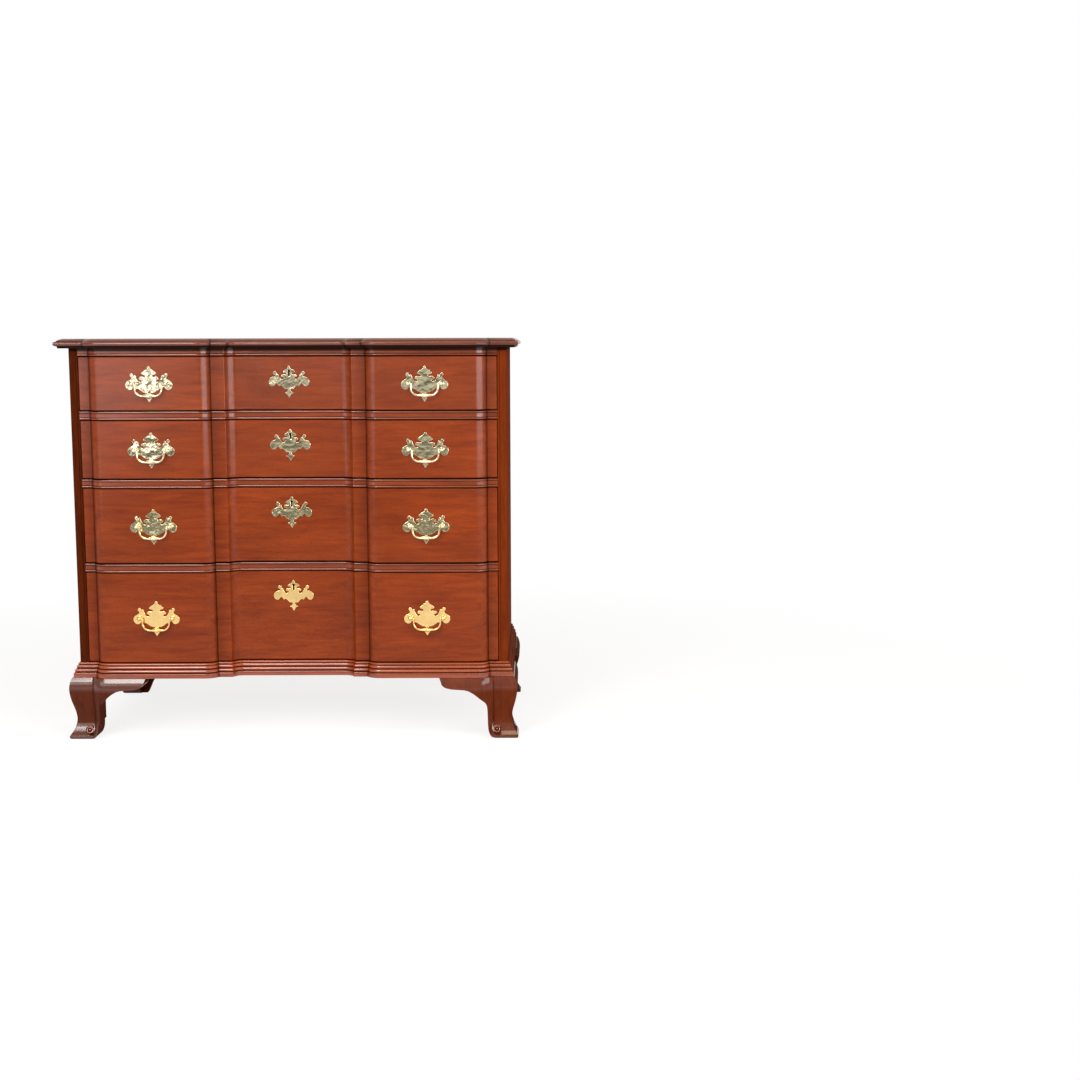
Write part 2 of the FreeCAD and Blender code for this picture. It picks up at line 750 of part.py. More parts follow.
def drawer_case(drawer):
    """Sides, back and bottom of a drawer."""
    low = OPENING_FROM[drawer]
    high = drawer_levels(drawer)[1] + " - drawer_side_drop"
    sides = []
    for index, x_range in enumerate(mirrored(SIDE_INNER, DRAWER_HALF)):
        groove_x = mirrored(SIDE_INNER, SIDE_INNER + " + drawer_groove")[index]
        side = board("side_board_%d_%d" % (drawer, index), x_range, (SIDE_FROM, SIDE_TO), (low, high))
        sides.append(cut("side_%d_%d" % (drawer, index), side,
                         [bottom_groove(drawer, groove_x, (FRONT_BACK + " - drawer_groove", SIDE_TO))]))
    group("drawer_sides_%d" % drawer, sides)
    floor_from = low + " + drawer_bottom_lift + groove_clearance"
    floor_to = floor_from + " + drawer_bottom_thickness"
    reach = SIDE_INNER + " + drawer_groove - groove_clearance"
    board("drawer_bottom_%d" % drawer, (minus(reach), reach),
          (FRONT_BACK + " - drawer_groove + groove_clearance", SIDE_TO), (floor_from, floor_to))
    board("drawer_back_%d" % drawer, (minus(SIDE_INNER), SIDE_INNER),
          (SIDE_TO + " - drawer_back_thickness", SIDE_TO), (floor_to, high + " - drawer_back_drop"))


# Brass ---------------------------------------------------------------------

# Half of each plate's outline, from its top to its tip, as shares of half the width and of the rise
# above or the fall below the reference point.
PLATE_EDGE = [
    (0.00, 1.00), (0.06, 0.95), (0.05, 0.84), (0.32, 0.61), (0.27, 0.50), (0.17, 0.43), (0.26, 0.40),
    (0.34, 0.38), (0.45, 0.33), (0.42, 0.22), (0.32, 0.16), (0.42, 0.10), (0.52, 0.30), (0.61, 0.54),
    (0.80, 0.45), (0.76, 0.32), (0.90, 0.12), (1.00, -0.07), (0.84, -0.34), (0.69, -0.27), (0.63, -0.17),
    (0.50, -0.26), (0.39, -0.34), (0.22, -0.48), (0.11, -0.52), (0.05, -0.56), (0.09, -0.81), (0.00, -1.00)]
ESCUTCHEON_EDGE = [
    (0.00, 1.00), (0.07, 0.80), (0.30, -0.02), (0.23, -0.07), (0.12, -0.10), (0.27, -0.12), (0.39, -0.16),
    (0.28, -0.23), (0.36, -0.34), (0.51, -0.18), (0.62, 0.00), (0.77, -0.06), (0.70, -0.18), (0.93, -0.29),
    (1.00, -0.42), (0.85, -0.57), (0.67, -0.49), (0.51, -0.57), (0.32, -0.61), (0.14, -0.71), (0.07, -0.72),
    (0.21, -0.83), (0.10, -0.86), (0.00, -1.00)]


def ornament(edge, x, z, half_width, rise, fall):
    """Closed outline of a plate around the place x, z."""
    def place(share_x, share_z):
        height = rise if share_z > 0 else fall
        return ("(" + x + ") + %.2f * (" % share_x + half_width + ")",
                "(" + z + ") + %.2f * (" % share_z + height + ")")
    right = [place(share_x, share_z) for share_x, share_z in edge]
    left = [place(-share_x, share_z) for share_x, share_z in reversed(edge[1:-1])]
    return right + left


def brass_plate(label, edge, x, z, half_width, rise, fall, face, thickness):
    """A thin plate laid on a vertical face of the drawer front."""
    outline = ornament(edge, x, z, half_width, rise, fall)
    return plate(label, "XZ_Plane", outline, minus(face), thickness)


def pull_plates(drawer):
    """Back plates of the two pulls, bored for their posts."""
    pull_z = drawer_levels(drawer)[2]
    pieces = []
    for index, x in enumerate((minus(PULL_MIDDLE), PULL_MIDDLE)):
        label = "pull_plate_%d_%d" % (drawer, index)
        blank = brass_plate(label + "_blank", PLATE_EDGE, x, pull_z, "plate_width / 2", "plate_rise",
                            "plate_fall", BLOCK_FACE, "plate_thickness")
        bores = [cylinder(label + "_bore_%d" % post, "post_diameter + 2 * post_bore_clearance",
                          "plate_thickness", post_x, BLOCK_FACE, pull_z, OUTWARD)
                 for post, post_x in enumerate(post_places()[2 * index:2 * index + 2])]
        pieces.append(cut(label, blank, bores))
    group("pull_plates_%d" % drawer, pieces)


PLATE_FACE = "(" + BLOCK_FACE + " - plate_thickness)"
PIVOT_Y = "(" + PLATE_FACE + " - pivot_stand_off)"
PIN_BORE = "bail_diameter + 2 * bail_pin_clearance"


def pull_posts(drawer):
    """Four posts with round heads, each with a blind bore on its inner side for the bail's pin."""
    pull_z = drawer_levels(drawer)[2]
    pieces = []
    for index, post_x in enumerate(post_places()):
        label = "post_%d_%d" % (drawer, index)
        shank = cylinder(label + "_shank", "post_diameter",
                         "raise_height + drawer_front_thickness + plate_thickness + nut_thickness",
                         post_x, PLATE_FACE, pull_z, INWARD)
        head = cylinder(label + "_head", "post_head_diameter", "post_head_length", post_x, PLATE_FACE,
                        pull_z, OUTWARD)
        towards_bail = RIGHTWARD if index % 2 == 0 else LEFTWARD
        bore = cylinder(label + "_bore", PIN_BORE, "post_head_diameter", post_x, PIVOT_Y, pull_z,
                        towards_bail)
        nut_half = "nut_width / 2"
        nut = board(label + "_nut", (post_x + " - " + nut_half, post_x + " + " + nut_half),
                    (FRONT_BACK, FRONT_BACK + " + nut_thickness"),
                    (pull_z + " - " + nut_half, pull_z + " + " + nut_half))
        pieces.append(cut(label, fuse(label + "_body", [shank, head, nut]), [bore]))
    group("pull_posts_%d" % drawer, pieces)


def bail(label, x, z):
    """A swinging handle: two pins turned into the post heads, a bow and a turned swell in its middle."""
    body = doc.addObject("PartDesign::Body", label)
    pin = "(pull_boring / 2 - bail_side_gap)"
    arm = "(pull_boring / 2 - post_head_diameter / 2 - bail_side_gap - bail_diameter / 2)"
    low = z + " - bail_drop"
    path = sketch_on(body, "XZ_Plane", minus(PIVOT_Y))
    trace(path, [
        (x + " - " + pin, z),
        (x + " - " + arm + " - bail_shoulder", z, "bail_shoulder", -1),
        (x + " - " + arm, z + " - bail_shoulder"),
        (x + " - " + arm, low + " + bail_corner", "bail_corner", 1),
        (x + " - " + arm + " + bail_corner", low),
        (x + " + " + arm + " - bail_corner", low, "bail_corner", 1),
        (x + " + " + arm, low + " + bail_corner"),
        (x + " + " + arm, z + " - bail_shoulder", "bail_shoulder", -1),
        (x + " + " + arm + " + bail_shoulder", z),
        (x + " + " + pin, z),
    ], closed=False)
    section = sketch_on(body, "YZ_Plane", x + " - " + pin)
    circle = Part.Circle(FreeCAD.Vector(number(PIVOT_Y), number(z), 0), FreeCAD.Vector(0, 0, 1),
                         number("bail_diameter / 2"))
    section.addGeometry(circle)
    section.addConstraint(Sketcher.Constraint("Radius", 0, number("bail_diameter / 2")))
    bind(section, "Constraints[0]", "bail_diameter / 2")
    pin_point(section, 0, 3, (PIVOT_Y, z))
    bow = body.newObject("PartDesign::AdditivePipe", label + "_bow")
    bow.Profile = section
    bow.Spine = path
    half = "bail_swell_length / 2"
    turned = sketch_on(body, "XZ_Plane", minus(PIVOT_Y))
    reel = low + " + bail_diameter * 0.45"
    belly = low + " + bail_swell_diameter * 0.4"
    trace(turned, [(x + " - " + half, low), (x + " + " + half, low), (x + " + " + half, reel),
                   (x + " + " + half + " * 0.75", reel), (x + " + " + half + " * 0.4", belly),
                   (x, low + " + bail_swell_diameter / 2"), (x + " - " + half + " * 0.4", belly),
                   (x + " - " + half + " * 0.75", reel), (x + " - " + half, reel)])
    swell = body.newObject("PartDesign::Revolution", label + "_swell")
    swell.Profile = turned
    swell.ReferenceAxis = (turned, ["Edge1"])
    swell.Angle = 360
    body.Tip = swell
    return body


def escutcheon(drawer):
    """Pierced key plate in the sunk middle."""
    key_z = drawer_levels(drawer)[1] + " - keyhole_drop"
    label = "escutcheon_%d" % drawer
    blank = brass_plate(label + "_blank", ESCUTCHEON_EDGE, "0", key_z, "escutcheon_width / 2",
                        "escutcheon_rise", "escutcheon_fall", RECESS_FACE, "escutcheon_thickness")
    hole = cylinder(label + "_keyhole", "keyhole_diameter", "escutcheon_thickness", "0", RECESS_FACE,
                    key_z, OUTWARD)
    slot = board(label + "_keyslot", ("-keyhole_slot_width / 2", "keyhole_slot_width / 2"),
                 (RECESS_FACE + " - escutcheon_thickness", RECESS_FACE),
                 (key_z + " - keyhole_slot", key_z))
    return cut(label, blank, [hole, slot])


def lock(drawer):
    """Lock case, open at the top for its bolt."""
    high = drawer_levels(drawer)[1]
    label = "lock_%d" % drawer
    half = "(lock_bolt_width / 2 + lock_bolt_clearance)"
    reach = "(lock_bolt_thickness / 2 + lock_bolt_clearance)"
    well = board(label + "_well", (minus(half), half), (BOLT_Y + " - " + reach, BOLT_Y + " + " + reach),
                 (high + " - lock_bolt_length - lock_bolt_clearance", high))
    key_z = high + " - keyhole_drop"
    keyway = cylinder(label + "_keyway", "keyhole_diameter", "lock_thickness / 2", "0",
                      FRONT_BACK + " - lock_thickness", key_z, INWARD)
    return cut(label, lock_space(drawer, label + "_case", "0"), [well, keyway])


def lock_bolt(drawer):
    """Bolt of the lock, drawn back flush with the drawer's top edge."""
    high = drawer_levels(drawer)[1]
    return board("lock_bolt_%d" % drawer, ("-lock_bolt_width / 2", "lock_bolt_width / 2"),
                 (BOLT_Y + " - lock_bolt_thickness / 2", BOLT_Y + " + lock_bolt_thickness / 2"),
                 (high + " - lock_bolt_length", high))


for drawer in DRAWERS:
    drawer_front(drawer)
    drawer_case(drawer)
    pull_plates(drawer)
    pull_posts(drawer)
    escutcheon(drawer)
    lock(drawer)
    lock_bolt(drawer)
    bail("bail_left_%d" % drawer, minus(PULL_MIDDLE), drawer_levels(drawer)[2])
    bail("bail_right_%d" % drawer, PULL_MIDDLE, drawer_levels(drawer)[2])


# Check and write -----------------------------------------------------------

doc.recompute()
for thing in doc.Objects:
    if "Invalid" in thing.State or "Error" in thing.State:
        raise RuntimeError("failed object: " + thing.Label)

NODES = ["top_board", "case_side_left", "case_side_right", "back_panel", "bottom_board", "top_rail",
         "drawer_blades", "base_moulding_front", "base_moulding_sides", "foot_front_left", "foot_front_right",
         "foot_rear_left", "foot_rear_right", "glue_blocks", "drawer_runners", "drawer_stops"]
for drawer in DRAWERS:
    NODES += [name + "_%d" % drawer for name in (
        "drawer_front", "drawer_sides", "drawer_back", "drawer_bottom", "pull_plates", "pull_posts",
        "escutcheon", "lock", "lock_bolt", "bail_left", "bail_right")]

shapes = {}
for label in NODES:
    shape = doc.getObjectsByLabel(label)[0].Shape
    if shape.isNull() or not shape.isValid() or not shape.Solids:
        raise RuntimeError("bad shape: " + label)
    shapes[label] = shape

os.makedirs("parts", exist_ok=True)
for label, shape in shapes.items():
    shape.exportStep("parts/" + label + ".step")
print(len(shapes), "sub-parts")
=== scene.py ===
import bisect
import math

import bmesh
import bpy
from mathutils import Matrix, Vector


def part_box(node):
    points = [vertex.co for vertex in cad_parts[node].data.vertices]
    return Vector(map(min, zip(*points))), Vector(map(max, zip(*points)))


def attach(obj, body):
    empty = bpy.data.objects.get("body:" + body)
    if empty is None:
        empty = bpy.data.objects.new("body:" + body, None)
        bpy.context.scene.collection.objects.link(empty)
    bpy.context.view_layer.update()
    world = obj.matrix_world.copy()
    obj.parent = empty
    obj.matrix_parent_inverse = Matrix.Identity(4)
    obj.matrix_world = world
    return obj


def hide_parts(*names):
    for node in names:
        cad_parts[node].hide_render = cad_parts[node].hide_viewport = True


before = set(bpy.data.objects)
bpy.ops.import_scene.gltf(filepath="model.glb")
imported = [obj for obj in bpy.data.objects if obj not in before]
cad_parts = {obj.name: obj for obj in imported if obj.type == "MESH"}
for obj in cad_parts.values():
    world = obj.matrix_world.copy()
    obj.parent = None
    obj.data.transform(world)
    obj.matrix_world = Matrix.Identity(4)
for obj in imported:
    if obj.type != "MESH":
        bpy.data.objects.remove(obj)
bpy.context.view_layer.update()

# Camera ----------------------------------------------------------------------------------------
# A camera on a tripod at the height of the top board, to the right of the chest and tipped down
# a little, so that the chest stands in the left half of the picture.

camera = bpy.data.objects.new("camera", bpy.data.cameras.new("camera"))
bpy.context.scene.collection.objects.link(camera)
bpy.context.scene.camera = camera
camera.data.lens = 53.03
camera.data.sensor_width = 36.0
camera.location = (0.526, -3.549, 0.850)
camera.rotation_euler = (math.radians(90 - 7.25), math.radians(0.14), math.radians(-0.03))

# Studio ----------------------------------------------------------------------------------------
# A pale paper floor and a white backdrop, with a dim room in front of them that is lighter above.
# The main soft box stands to the left, a wide one to the right and a warm one hangs over the
# front; three small white cards at the left draw the long highlights down the raised blocks.

bpy.context.scene.view_settings.view_transform = "Standard"


def added(tree, kind, **settings):
    """A node put into a tree, its inputs set or joined by name, or by number as i0, i1 and i2."""
    node = tree.nodes.new("ShaderNode" + kind)
    for name, value in settings.items():
        if name in ("operation", "attribute_name"):
            setattr(node, name, value)
            continue
        socket = node.inputs[int(name[1:])] if name in ("i0", "i1", "i2") else node.inputs[name]
        if isinstance(value, bpy.types.NodeSocket):
            tree.links.new(value, socket)
        else:
            socket.default_value = value
    return node


def ranged(tree, value, start, stop, low=0.0, high=1.0):
    """A value between start and stop, carried over to the range from low to high."""
    return added(tree, "MapRange", Value=value, **{"From Min": start, "From Max": stop,
                                                   "To Min": low, "To Max": high}).outputs[0]


def product(tree, first, second):
    """Two values of a tree multiplied."""
    return added(tree, "Math", operation="MULTIPLY", i0=first, i1=second).outputs[0]


def larger(tree, first, second):
    """The larger of two values of a tree."""
    return added(tree, "Math", operation="MAXIMUM", i0=first, i1=second).outputs[0]


def fresh_tree(holder):
    """The empty node tree of a new material or world."""
    holder.use_nodes = True
    holder.node_tree.nodes.clear()
    return holder.node_tree


floor_side = 7.0
floor_front = -2.4
floor_mesh = bpy.data.meshes.new("floor")
floor_mesh.from_pydata([(-floor_side, floor_front, 0), (floor_side, floor_front, 0),
                        (floor_side, floor_side, 0), (-floor_side, floor_side, 0)], [], [(0, 1, 2, 3)])
floor = bpy.data.objects.new("floor", floor_mesh)
bpy.context.scene.collection.objects.link(floor)

# the paper is matt where it takes the shadow and glows white further off
floor_paint = bpy.data.materials.new("floor_paint")
tree = fresh_tree(floor_paint)
rays = tree.nodes.new("ShaderNodeLightPath")
seen = larger(tree, rays.outputs["Is Camera Ray"], rays.outputs["Is Glossy Ray"])
seen = larger(tree, seen, rays.outputs["Is Transmission Ray"])
matt = added(tree, "BsdfDiffuse", Color=(0.86, 0.86, 0.86, 1), Roughness=1.0)
glow = added(tree, "Emission", Color=(1, 1, 1, 1), Strength=1.0)
spot = tree.nodes.new("ShaderNodeTexCoord")
away = added(tree, "VectorMath", operation="LENGTH", i0=spot.outputs["Object"])
share = product(tree, seen, ranged(tree, away.outputs["Value"], 0.6, 2.0, 0.80, 1.0))
paint = added(tree, "MixShader", i0=share, i1=matt.outputs[0], i2=glow.outputs[0])
added(tree, "OutputMaterial", Surface=paint.outputs[0])
floor_mesh.materials.append(floor_paint)

world = bpy.data.worlds.new("studio")
bpy.context.scene.world = world
tree = fresh_tree(world)
rays = tree.nodes.new("ShaderNodeLightPath")
heading = tree.nodes.new("ShaderNodeTexCoord")
parts = added(tree, "SeparateXYZ", Vector=heading.outputs["Generated"])
# gloss shows the white backdrop only behind the chest, and the room everywhere else
mirrored = larger(tree, rays.outputs["Is Glossy Ray"], rays.outputs["Is Transmission Ray"])
mirrored = product(tree, mirrored, ranged(tree, parts.outputs["Y"], 0.0, 0.35))
white = larger(tree, rays.outputs["Is Camera Ray"], mirrored)
lower_room = added(tree, "Background", Color=(0.33, 0.33, 0.28, 1), Strength=0.38)
upper_room = added(tree, "Background", Color=(0.60, 0.58, 0.51, 1), Strength=0.95)
room = added(tree, "MixShader", i0=ranged(tree, parts.outputs["Z"], -0.13, 0.02),
             i1=lower_room.outputs[0], i2=upper_room.outputs[0])
backdrop = added(tree, "Background", Color=(1, 1, 1, 1), Strength=1.0)
surround = added(tree, "MixShader", i0=white, i1=room.outputs[0], i2=backdrop.outputs[0])
added(tree, "OutputWorld", Surface=surround.outputs[0])


def soft_box(name, place, aim, width, height, power, tint):
    """An area lamp with a diffuser, aimed at a point."""
    lamp = bpy.data.lights.new(name, "AREA")
    lamp.color = tint
    lamp.shape = "RECTANGLE"
    lamp.size = width
    lamp.size_y = height
    lamp.energy = power
    box = bpy.data.objects.new(name, lamp)
    box.visible_camera = False
    box.location = place
    box.rotation_euler = (Vector(aim) - Vector(place)).to_track_quat("-Z", "Y").to_euler()
    bpy.context.scene.collection.objects.link(box)


soft_box("soft_box_key", (-0.78, -2.55, 1.66), (-0.15, -0.2, 0.55), 1.0, 1.1, 34, (1.0, 0.98, 0.96))
soft_box("soft_box_right", (1.65, -1.75, 0.86), (0.1, -0.2, 0.6), 2.1, 0.85, 24, (1.0, 0.98, 0.98))
soft_box("card_low", (-0.95, -2.55, 0.66), (-0.32, -0.2, 0.72), 0.40, 0.22, 0.40, (1.0, 0.97, 1.0))
soft_box("card_side", (-1.13, -2.55, 0.66), (-0.42, -0.2, 0.72), 0.12, 0.24, 0.22, (1.0, 0.96, 1.0))
soft_box("card_left", (-1.21, -1.57, 0.62), (0.12, -0.2, 0.62), 0.75, 0.60, 2.2, (1.0, 0.96, 1.0))
soft_box("soft_box_above", (0.3, -2.0, 2.7), (0, -0.2, 0.4), 2.2, 0.7, 26, (1.0, 0.84, 0.60))

# Top board -------------------------------------------------------------------------------------
# A mahogany board whose front follows the blocking of the drawers.  The edge is run with an ovolo,
# a small step and a full torus on the front and both ends; the back is left square.

# plan of the blocking: y of the strips between the blocks, depth and radius of a block's step, and
# the x where the sunk middle block ends and the raised outer block starts and stops
block_flat = -0.205
block_step = 0.016
block_radius = 0.026
hollow_start = 0.109
round_start = 0.186
round_stop = 0.392
# the soft arris where the hollow meets the strip: distance along the front, and how far back
arris = [(-0.0006, 0.0012), (0.0, 0.0005), (0.0006, 0.0001), (0.0014, 0.0)]
# short flat before and after a round
fillet = 0.0016


def blocked_line(proud, end):
    """Plan of the blocked front from left to right, standing proud of the drawers' strips."""
    steps = 10
    flat = block_flat - proud
    hollow = block_radius - proud / 2
    bulge = block_radius + proud / 2
    hollow_turn = math.acos(1 - block_step / hollow)
    bulge_turn = math.acos(1 - block_step / bulge)
    sunk = flat + block_step
    raised = flat - block_step
    line = [(0.0, sunk), (0.06, sunk)]
    for step in range(steps):
        turn = hollow_turn * step / steps
        line.append((hollow_start + hollow * math.sin(turn), sunk - hollow * (1 - math.cos(turn))))
    edge = hollow_start + hollow * math.sin(hollow_turn)
    line += [(edge + across, flat + back) for across, back in arris]
    line.append((round_start - bulge * math.sin(bulge_turn) - fillet, flat))
    for step in range(steps, -1, -1):
        turn = bulge_turn * step / steps
        line.append((round_start - bulge * math.sin(turn), raised + bulge * (1 - math.cos(turn))))
    line.append(((round_start + round_stop) / 2, raised))
    for step in range(steps + 1):
        turn = bulge_turn * step / steps
        line.append((round_stop + bulge * math.sin(turn), raised + bulge * (1 - math.cos(turn))))
    line.append((round_stop + bulge * math.sin(bulge_turn) + fillet, flat))
    line.append((end, flat))
    return [(-x, y) for x, y in reversed(line[1:])] + line


def shaped(name, mesh, material, body, node):
    """A piece that stands in for its plain solid, with its material, and moves with its body."""
    piece = bpy.data.objects.new(name, mesh)
    bpy.context.scene.collection.objects.link(piece)
    if len(mesh.materials):
        mesh.materials[0] = material
    else:
        mesh.materials.append(material)
    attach(piece, body)
    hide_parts(node)


def crisp(mesh, faces):
    """The edges round some flat faces are kept sharp, so that each is shaded as a flat."""
    for face in faces:
        for corner in face.loop_indices:
            mesh.edges[mesh.loops[corner].edge_index].use_edge_sharp = True


# sine of the turn that counts as an inner corner, how far behind the strips the front ends, and
# how far the painted shade of an inner corner spreads from it
corner_turn = 0.35
front_depth = 0.03
shade_reach = 0.007


def painted_shading(mesh, ring, amounts):
    """Painted shade laid over whole rings of a moulding and into the inner corners of its plan."""
    shade = mesh.attributes.new("painted_shade", "FLOAT", "POINT")
    places = [Vector(point[:2]) for point in ring]
    # the ring runs either way round its board
    way = 1 if sum(places[step - 1].cross(place) for step, place in enumerate(places)) > 0 else -1
    column = [0.0] * len(places)
    for step, place in enumerate(places):
        ahead = places[(step + 1) % len(places)] - place
        behind = place - places[step - 1]
        inner_corner = way * behind.cross(ahead) < -corner_turn * behind.length * ahead.length
        if not inner_corner or place.y > block_flat + front_depth:
            continue
        for spread, amount in ((2, 0.12), (1, 0.3), (0, 0.95)):
            for beside in (step - spread, (step + spread) % len(places)):
                if (places[beside] - place).length < shade_reach:
                    column[beside] = max(column[beside], amount)
    for row, amount in enumerate(amounts):
        for step, dark in enumerate(column):
            if row in (0, len(amounts) - 1):
                dark = 0.0
            shade.data[row * len(column) + step].value = max(amount, dark)


def as_mesh(name, form):
    """The finished mesh of a form that was built up face by face."""
    mesh = bpy.data.meshes.new(name)
    form.to_mesh(mesh)
    form.free()
    return mesh


def lofted(name, rings, painted_shade=None):
    """A closed solid run through rings of points, one ring for each step of the moulding."""
    form = bmesh.new()
    rows = [[form.verts.new(point) for point in ring] for ring in rings]
    for lower, upper in zip(rows, rows[1:]):
        for step in range(len(lower)):
            after = (step + 1) % len(lower)
            form.faces.new((lower[step], lower[after], upper[after], upper[step])).smooth = True
    form.faces.new(rows[0])
    form.faces.new(rows[-1])
    bmesh.ops.recalc_face_normals(form, faces=form.faces)
    mesh = as_mesh(name, form)
    mesh.set_sharp_from_angle(angle=math.radians(28))
    crisp(mesh, mesh.polygons[-2:])
    if painted_shade:
        painted_shading(mesh, rings[0], painted_shade)
    return mesh


def mahogany(name, along, seed, tone=1.0, ribbon=0.5, polish=1.0, dry=0.0, glint=1.6, grit=0.4):
    """French-polished mahogany: red-brown bands along the grain, open pores and a deep gloss.

    tone lightens the colour, ribbon strengthens its light and dark bands, polish and glint brighten
    the gloss, dry dulls the wood under it and grit roughens the gloss.
    """
    material = bpy.data.materials.new(name)
    tree = fresh_tree(material)
    stretch = {"X": (1, 9, 9), "Y": (9, 1, 9), "Z": (9, 9, 1)}[along]
    place = tree.nodes.new("ShaderNodeTexCoord").outputs["Object"]
    grain = added(tree, "Mapping", Vector=place, Scale=stretch,
                  Location=(seed * 1.37, seed * 0.71, seed * 2.13)).outputs[0]
    bands = added(tree, "TexNoise", Vector=grain, Scale=9.0, Detail=9.0, Roughness=0.68, Distortion=0.5)
    streaks = added(tree, "TexNoise", Vector=grain, Scale=46.0, Detail=3.0, Roughness=0.6).outputs[0]
    pores = added(tree, "TexNoise", Vector=grain, Scale=190.0, Detail=1.0, Roughness=0.5).outputs[0]
    cloud = added(tree, "Mapping", Vector=place, Scale=[value ** 0.35 for value in stretch],
                  Location=(seed * 0.53, seed * 1.9, seed * 0.37)).outputs[0]
    figure = added(tree, "TexNoise", Vector=cloud, Scale=5.5, Detail=2.0, Roughness=0.5).outputs[0]

    colours = tree.nodes.new("ShaderNodeValToRGB")
    tree.links.new(bands.outputs[0], colours.inputs[0])
    ramp = colours.color_ramp
    ramp.elements[0].position = 0.30
    ramp.elements[0].color = (0.160 * tone, 0.020 * tone, 0.0030 * tone, 1)
    ramp.elements[1].position = 0.70
    ramp.elements[1].color = (0.282 * tone, 0.046 * tone, 0.0062 * tone, 1)
    middle = ramp.elements.new(0.50)
    middle.color = (0.226 * tone, 0.034 * tone, 0.0044 * tone, 1)

    depth = ranged(tree, pores, 0.56, 0.70, 1.0, 0.70)
    gain = product(tree, ranged(tree, figure, 0.3, 0.7, 1.0 - 0.2 * ribbon, 1.0 + 0.2 * ribbon),
                   ranged(tree, streaks, 0.3, 0.7, 0.93, 1.06))
    gain = product(tree, gain, depth)
    # painted shade from the mesh darkens the colour and dulls the gloss in quirks, gaps and under
    # overhangs
    painted_shade = added(tree, "Attribute", attribute_name="painted_shade").outputs["Fac"]
    gain = product(tree, gain, ranged(tree, painted_shade, 0.0, 1.0, 1.0, 0.08))
    colour = added(tree, "VectorMath", operation="SCALE", i0=colours.outputs[0], Scale=gain)
    rubbed = added(tree, "Attribute", attribute_name="rubbed").outputs["Fac"]
    shine = ranged(tree, larger(tree, rubbed, painted_shade), 0.0, 1.0, polish, 0.1 * polish)

    rough = ranged(tree, streaks, 0.3, 0.7, 0.40 + dry, 0.54 + dry)
    speckle = added(tree, "TexNoise", Vector=place, Scale=400.0, Detail=2.0, Roughness=0.6)
    relief = added(tree, "Math", operation="MULTIPLY_ADD", i0=speckle.outputs[0], i1=0.8, i2=depth)
    bump = added(tree, "Bump", Strength=grit, Distance=0.0004, Height=relief.outputs[0]).outputs[0]
    skin = added(tree, "BsdfPrincipled", Roughness=rough, Normal=bump,
                 **{"Base Color": colour.outputs[0], "Coat Weight": shine, "Coat Roughness": 0.15,
                    "Coat IOR": glint, "Coat Normal": bump, "Specular IOR Level": 0.05})
    added(tree, "OutputMaterial", Surface=skin.outputs[0])
    return material


def rounded(middle, height, depth, start, stop, flat_start, flat_stop):
    """Places of a bead from start to stop degrees, planed to a narrow flat between two of them."""
    turns = [start + (flat_start - start) * step / 6 for step in range(7)]
    turns += [flat_stop + (stop - flat_stop) * step / 6 for step in range(7)]
    places = [(middle[0] + height * math.sin(math.radians(turn)),
               middle[1] + depth * math.cos(math.radians(turn))) for turn in turns]
    low, high = places[6:8]
    planed = [(low[0] * (1 - share) + high[0] * share, low[1] * (1 - share) + high[1] * share)
              for share in (0.12, 0.88)]
    return places[:7] + planed + places[7:]


board_low, board_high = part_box("top_board")
# distance in from the nose and depth below the top, in metres
shoulder = [(0.0170, 0.0), (0.0162, 0.0002), (0.0140, 0.0008), (0.0115, 0.0017), (0.0090, 0.0028),
            (0.0070, 0.0040), (0.0058, 0.0050), (0.0054, 0.0057)]
torus_radius = 0.0046
torus_depth = 0.0108
torus = [(-proud, -height) for height, proud in reversed(
    rounded((-torus_depth, -torus_radius), torus_radius, torus_radius, -90, 90, 5, 28))]
under = [(0.0062, 0.0157), (0.0070, 0.0168), (0.0074, 0.0182), (0.0074, 0.0200)]
edge_profile = shoulder + torus + under
# painted shade in the quirk above the torus and all along the underside
edge_shade = [0.0] * (len(shoulder) - 1) + [0.8, 0.8] + [0.0] * (len(torus) - 4) + [0.6, 1.0, 1.0]
edge_shade += [1.0] * len(under)
board_rings = []
for inset, depth in reversed(edge_profile):
    height = board_high.z - depth
    nose = block_flat - block_step - board_low.y
    line = blocked_line(nose - inset, board_high.x - inset)
    back = [(board_high.x - inset, board_high.y), (board_low.x + inset, board_high.y)]
    board_rings.append([(x, y, height) for x, y in line + back])
top_mesh = lofted("top_board_moulded", board_rings, painted_shade=list(reversed(edge_shade)))
# the flat of the top has a softer shine than its edge
worn = [0.85 if vertex.co.z > board_high.z - 0.0001 else 0.0 for vertex in top_mesh.vertices]
top_mesh.attributes.new("rubbed", "FLOAT", "POINT").data.foreach_set("value", worn)
top_wood = mahogany("mahogany_top", "X", 3.1, tone=0.58, ribbon=0.4, polish=0.7, glint=1.8, grit=0.2)
shaped("top_board_moulded", top_mesh, top_wood, "case", "top_board")

# Case sides ------------------------------------------------------------------------------------
# Two solid mahogany sides with the grain upright.  Each front edge shows as a stile with a fine
# scratched bead along the drawer openings; the back edge is rebated for the back panel.

bead_radius = 0.0022
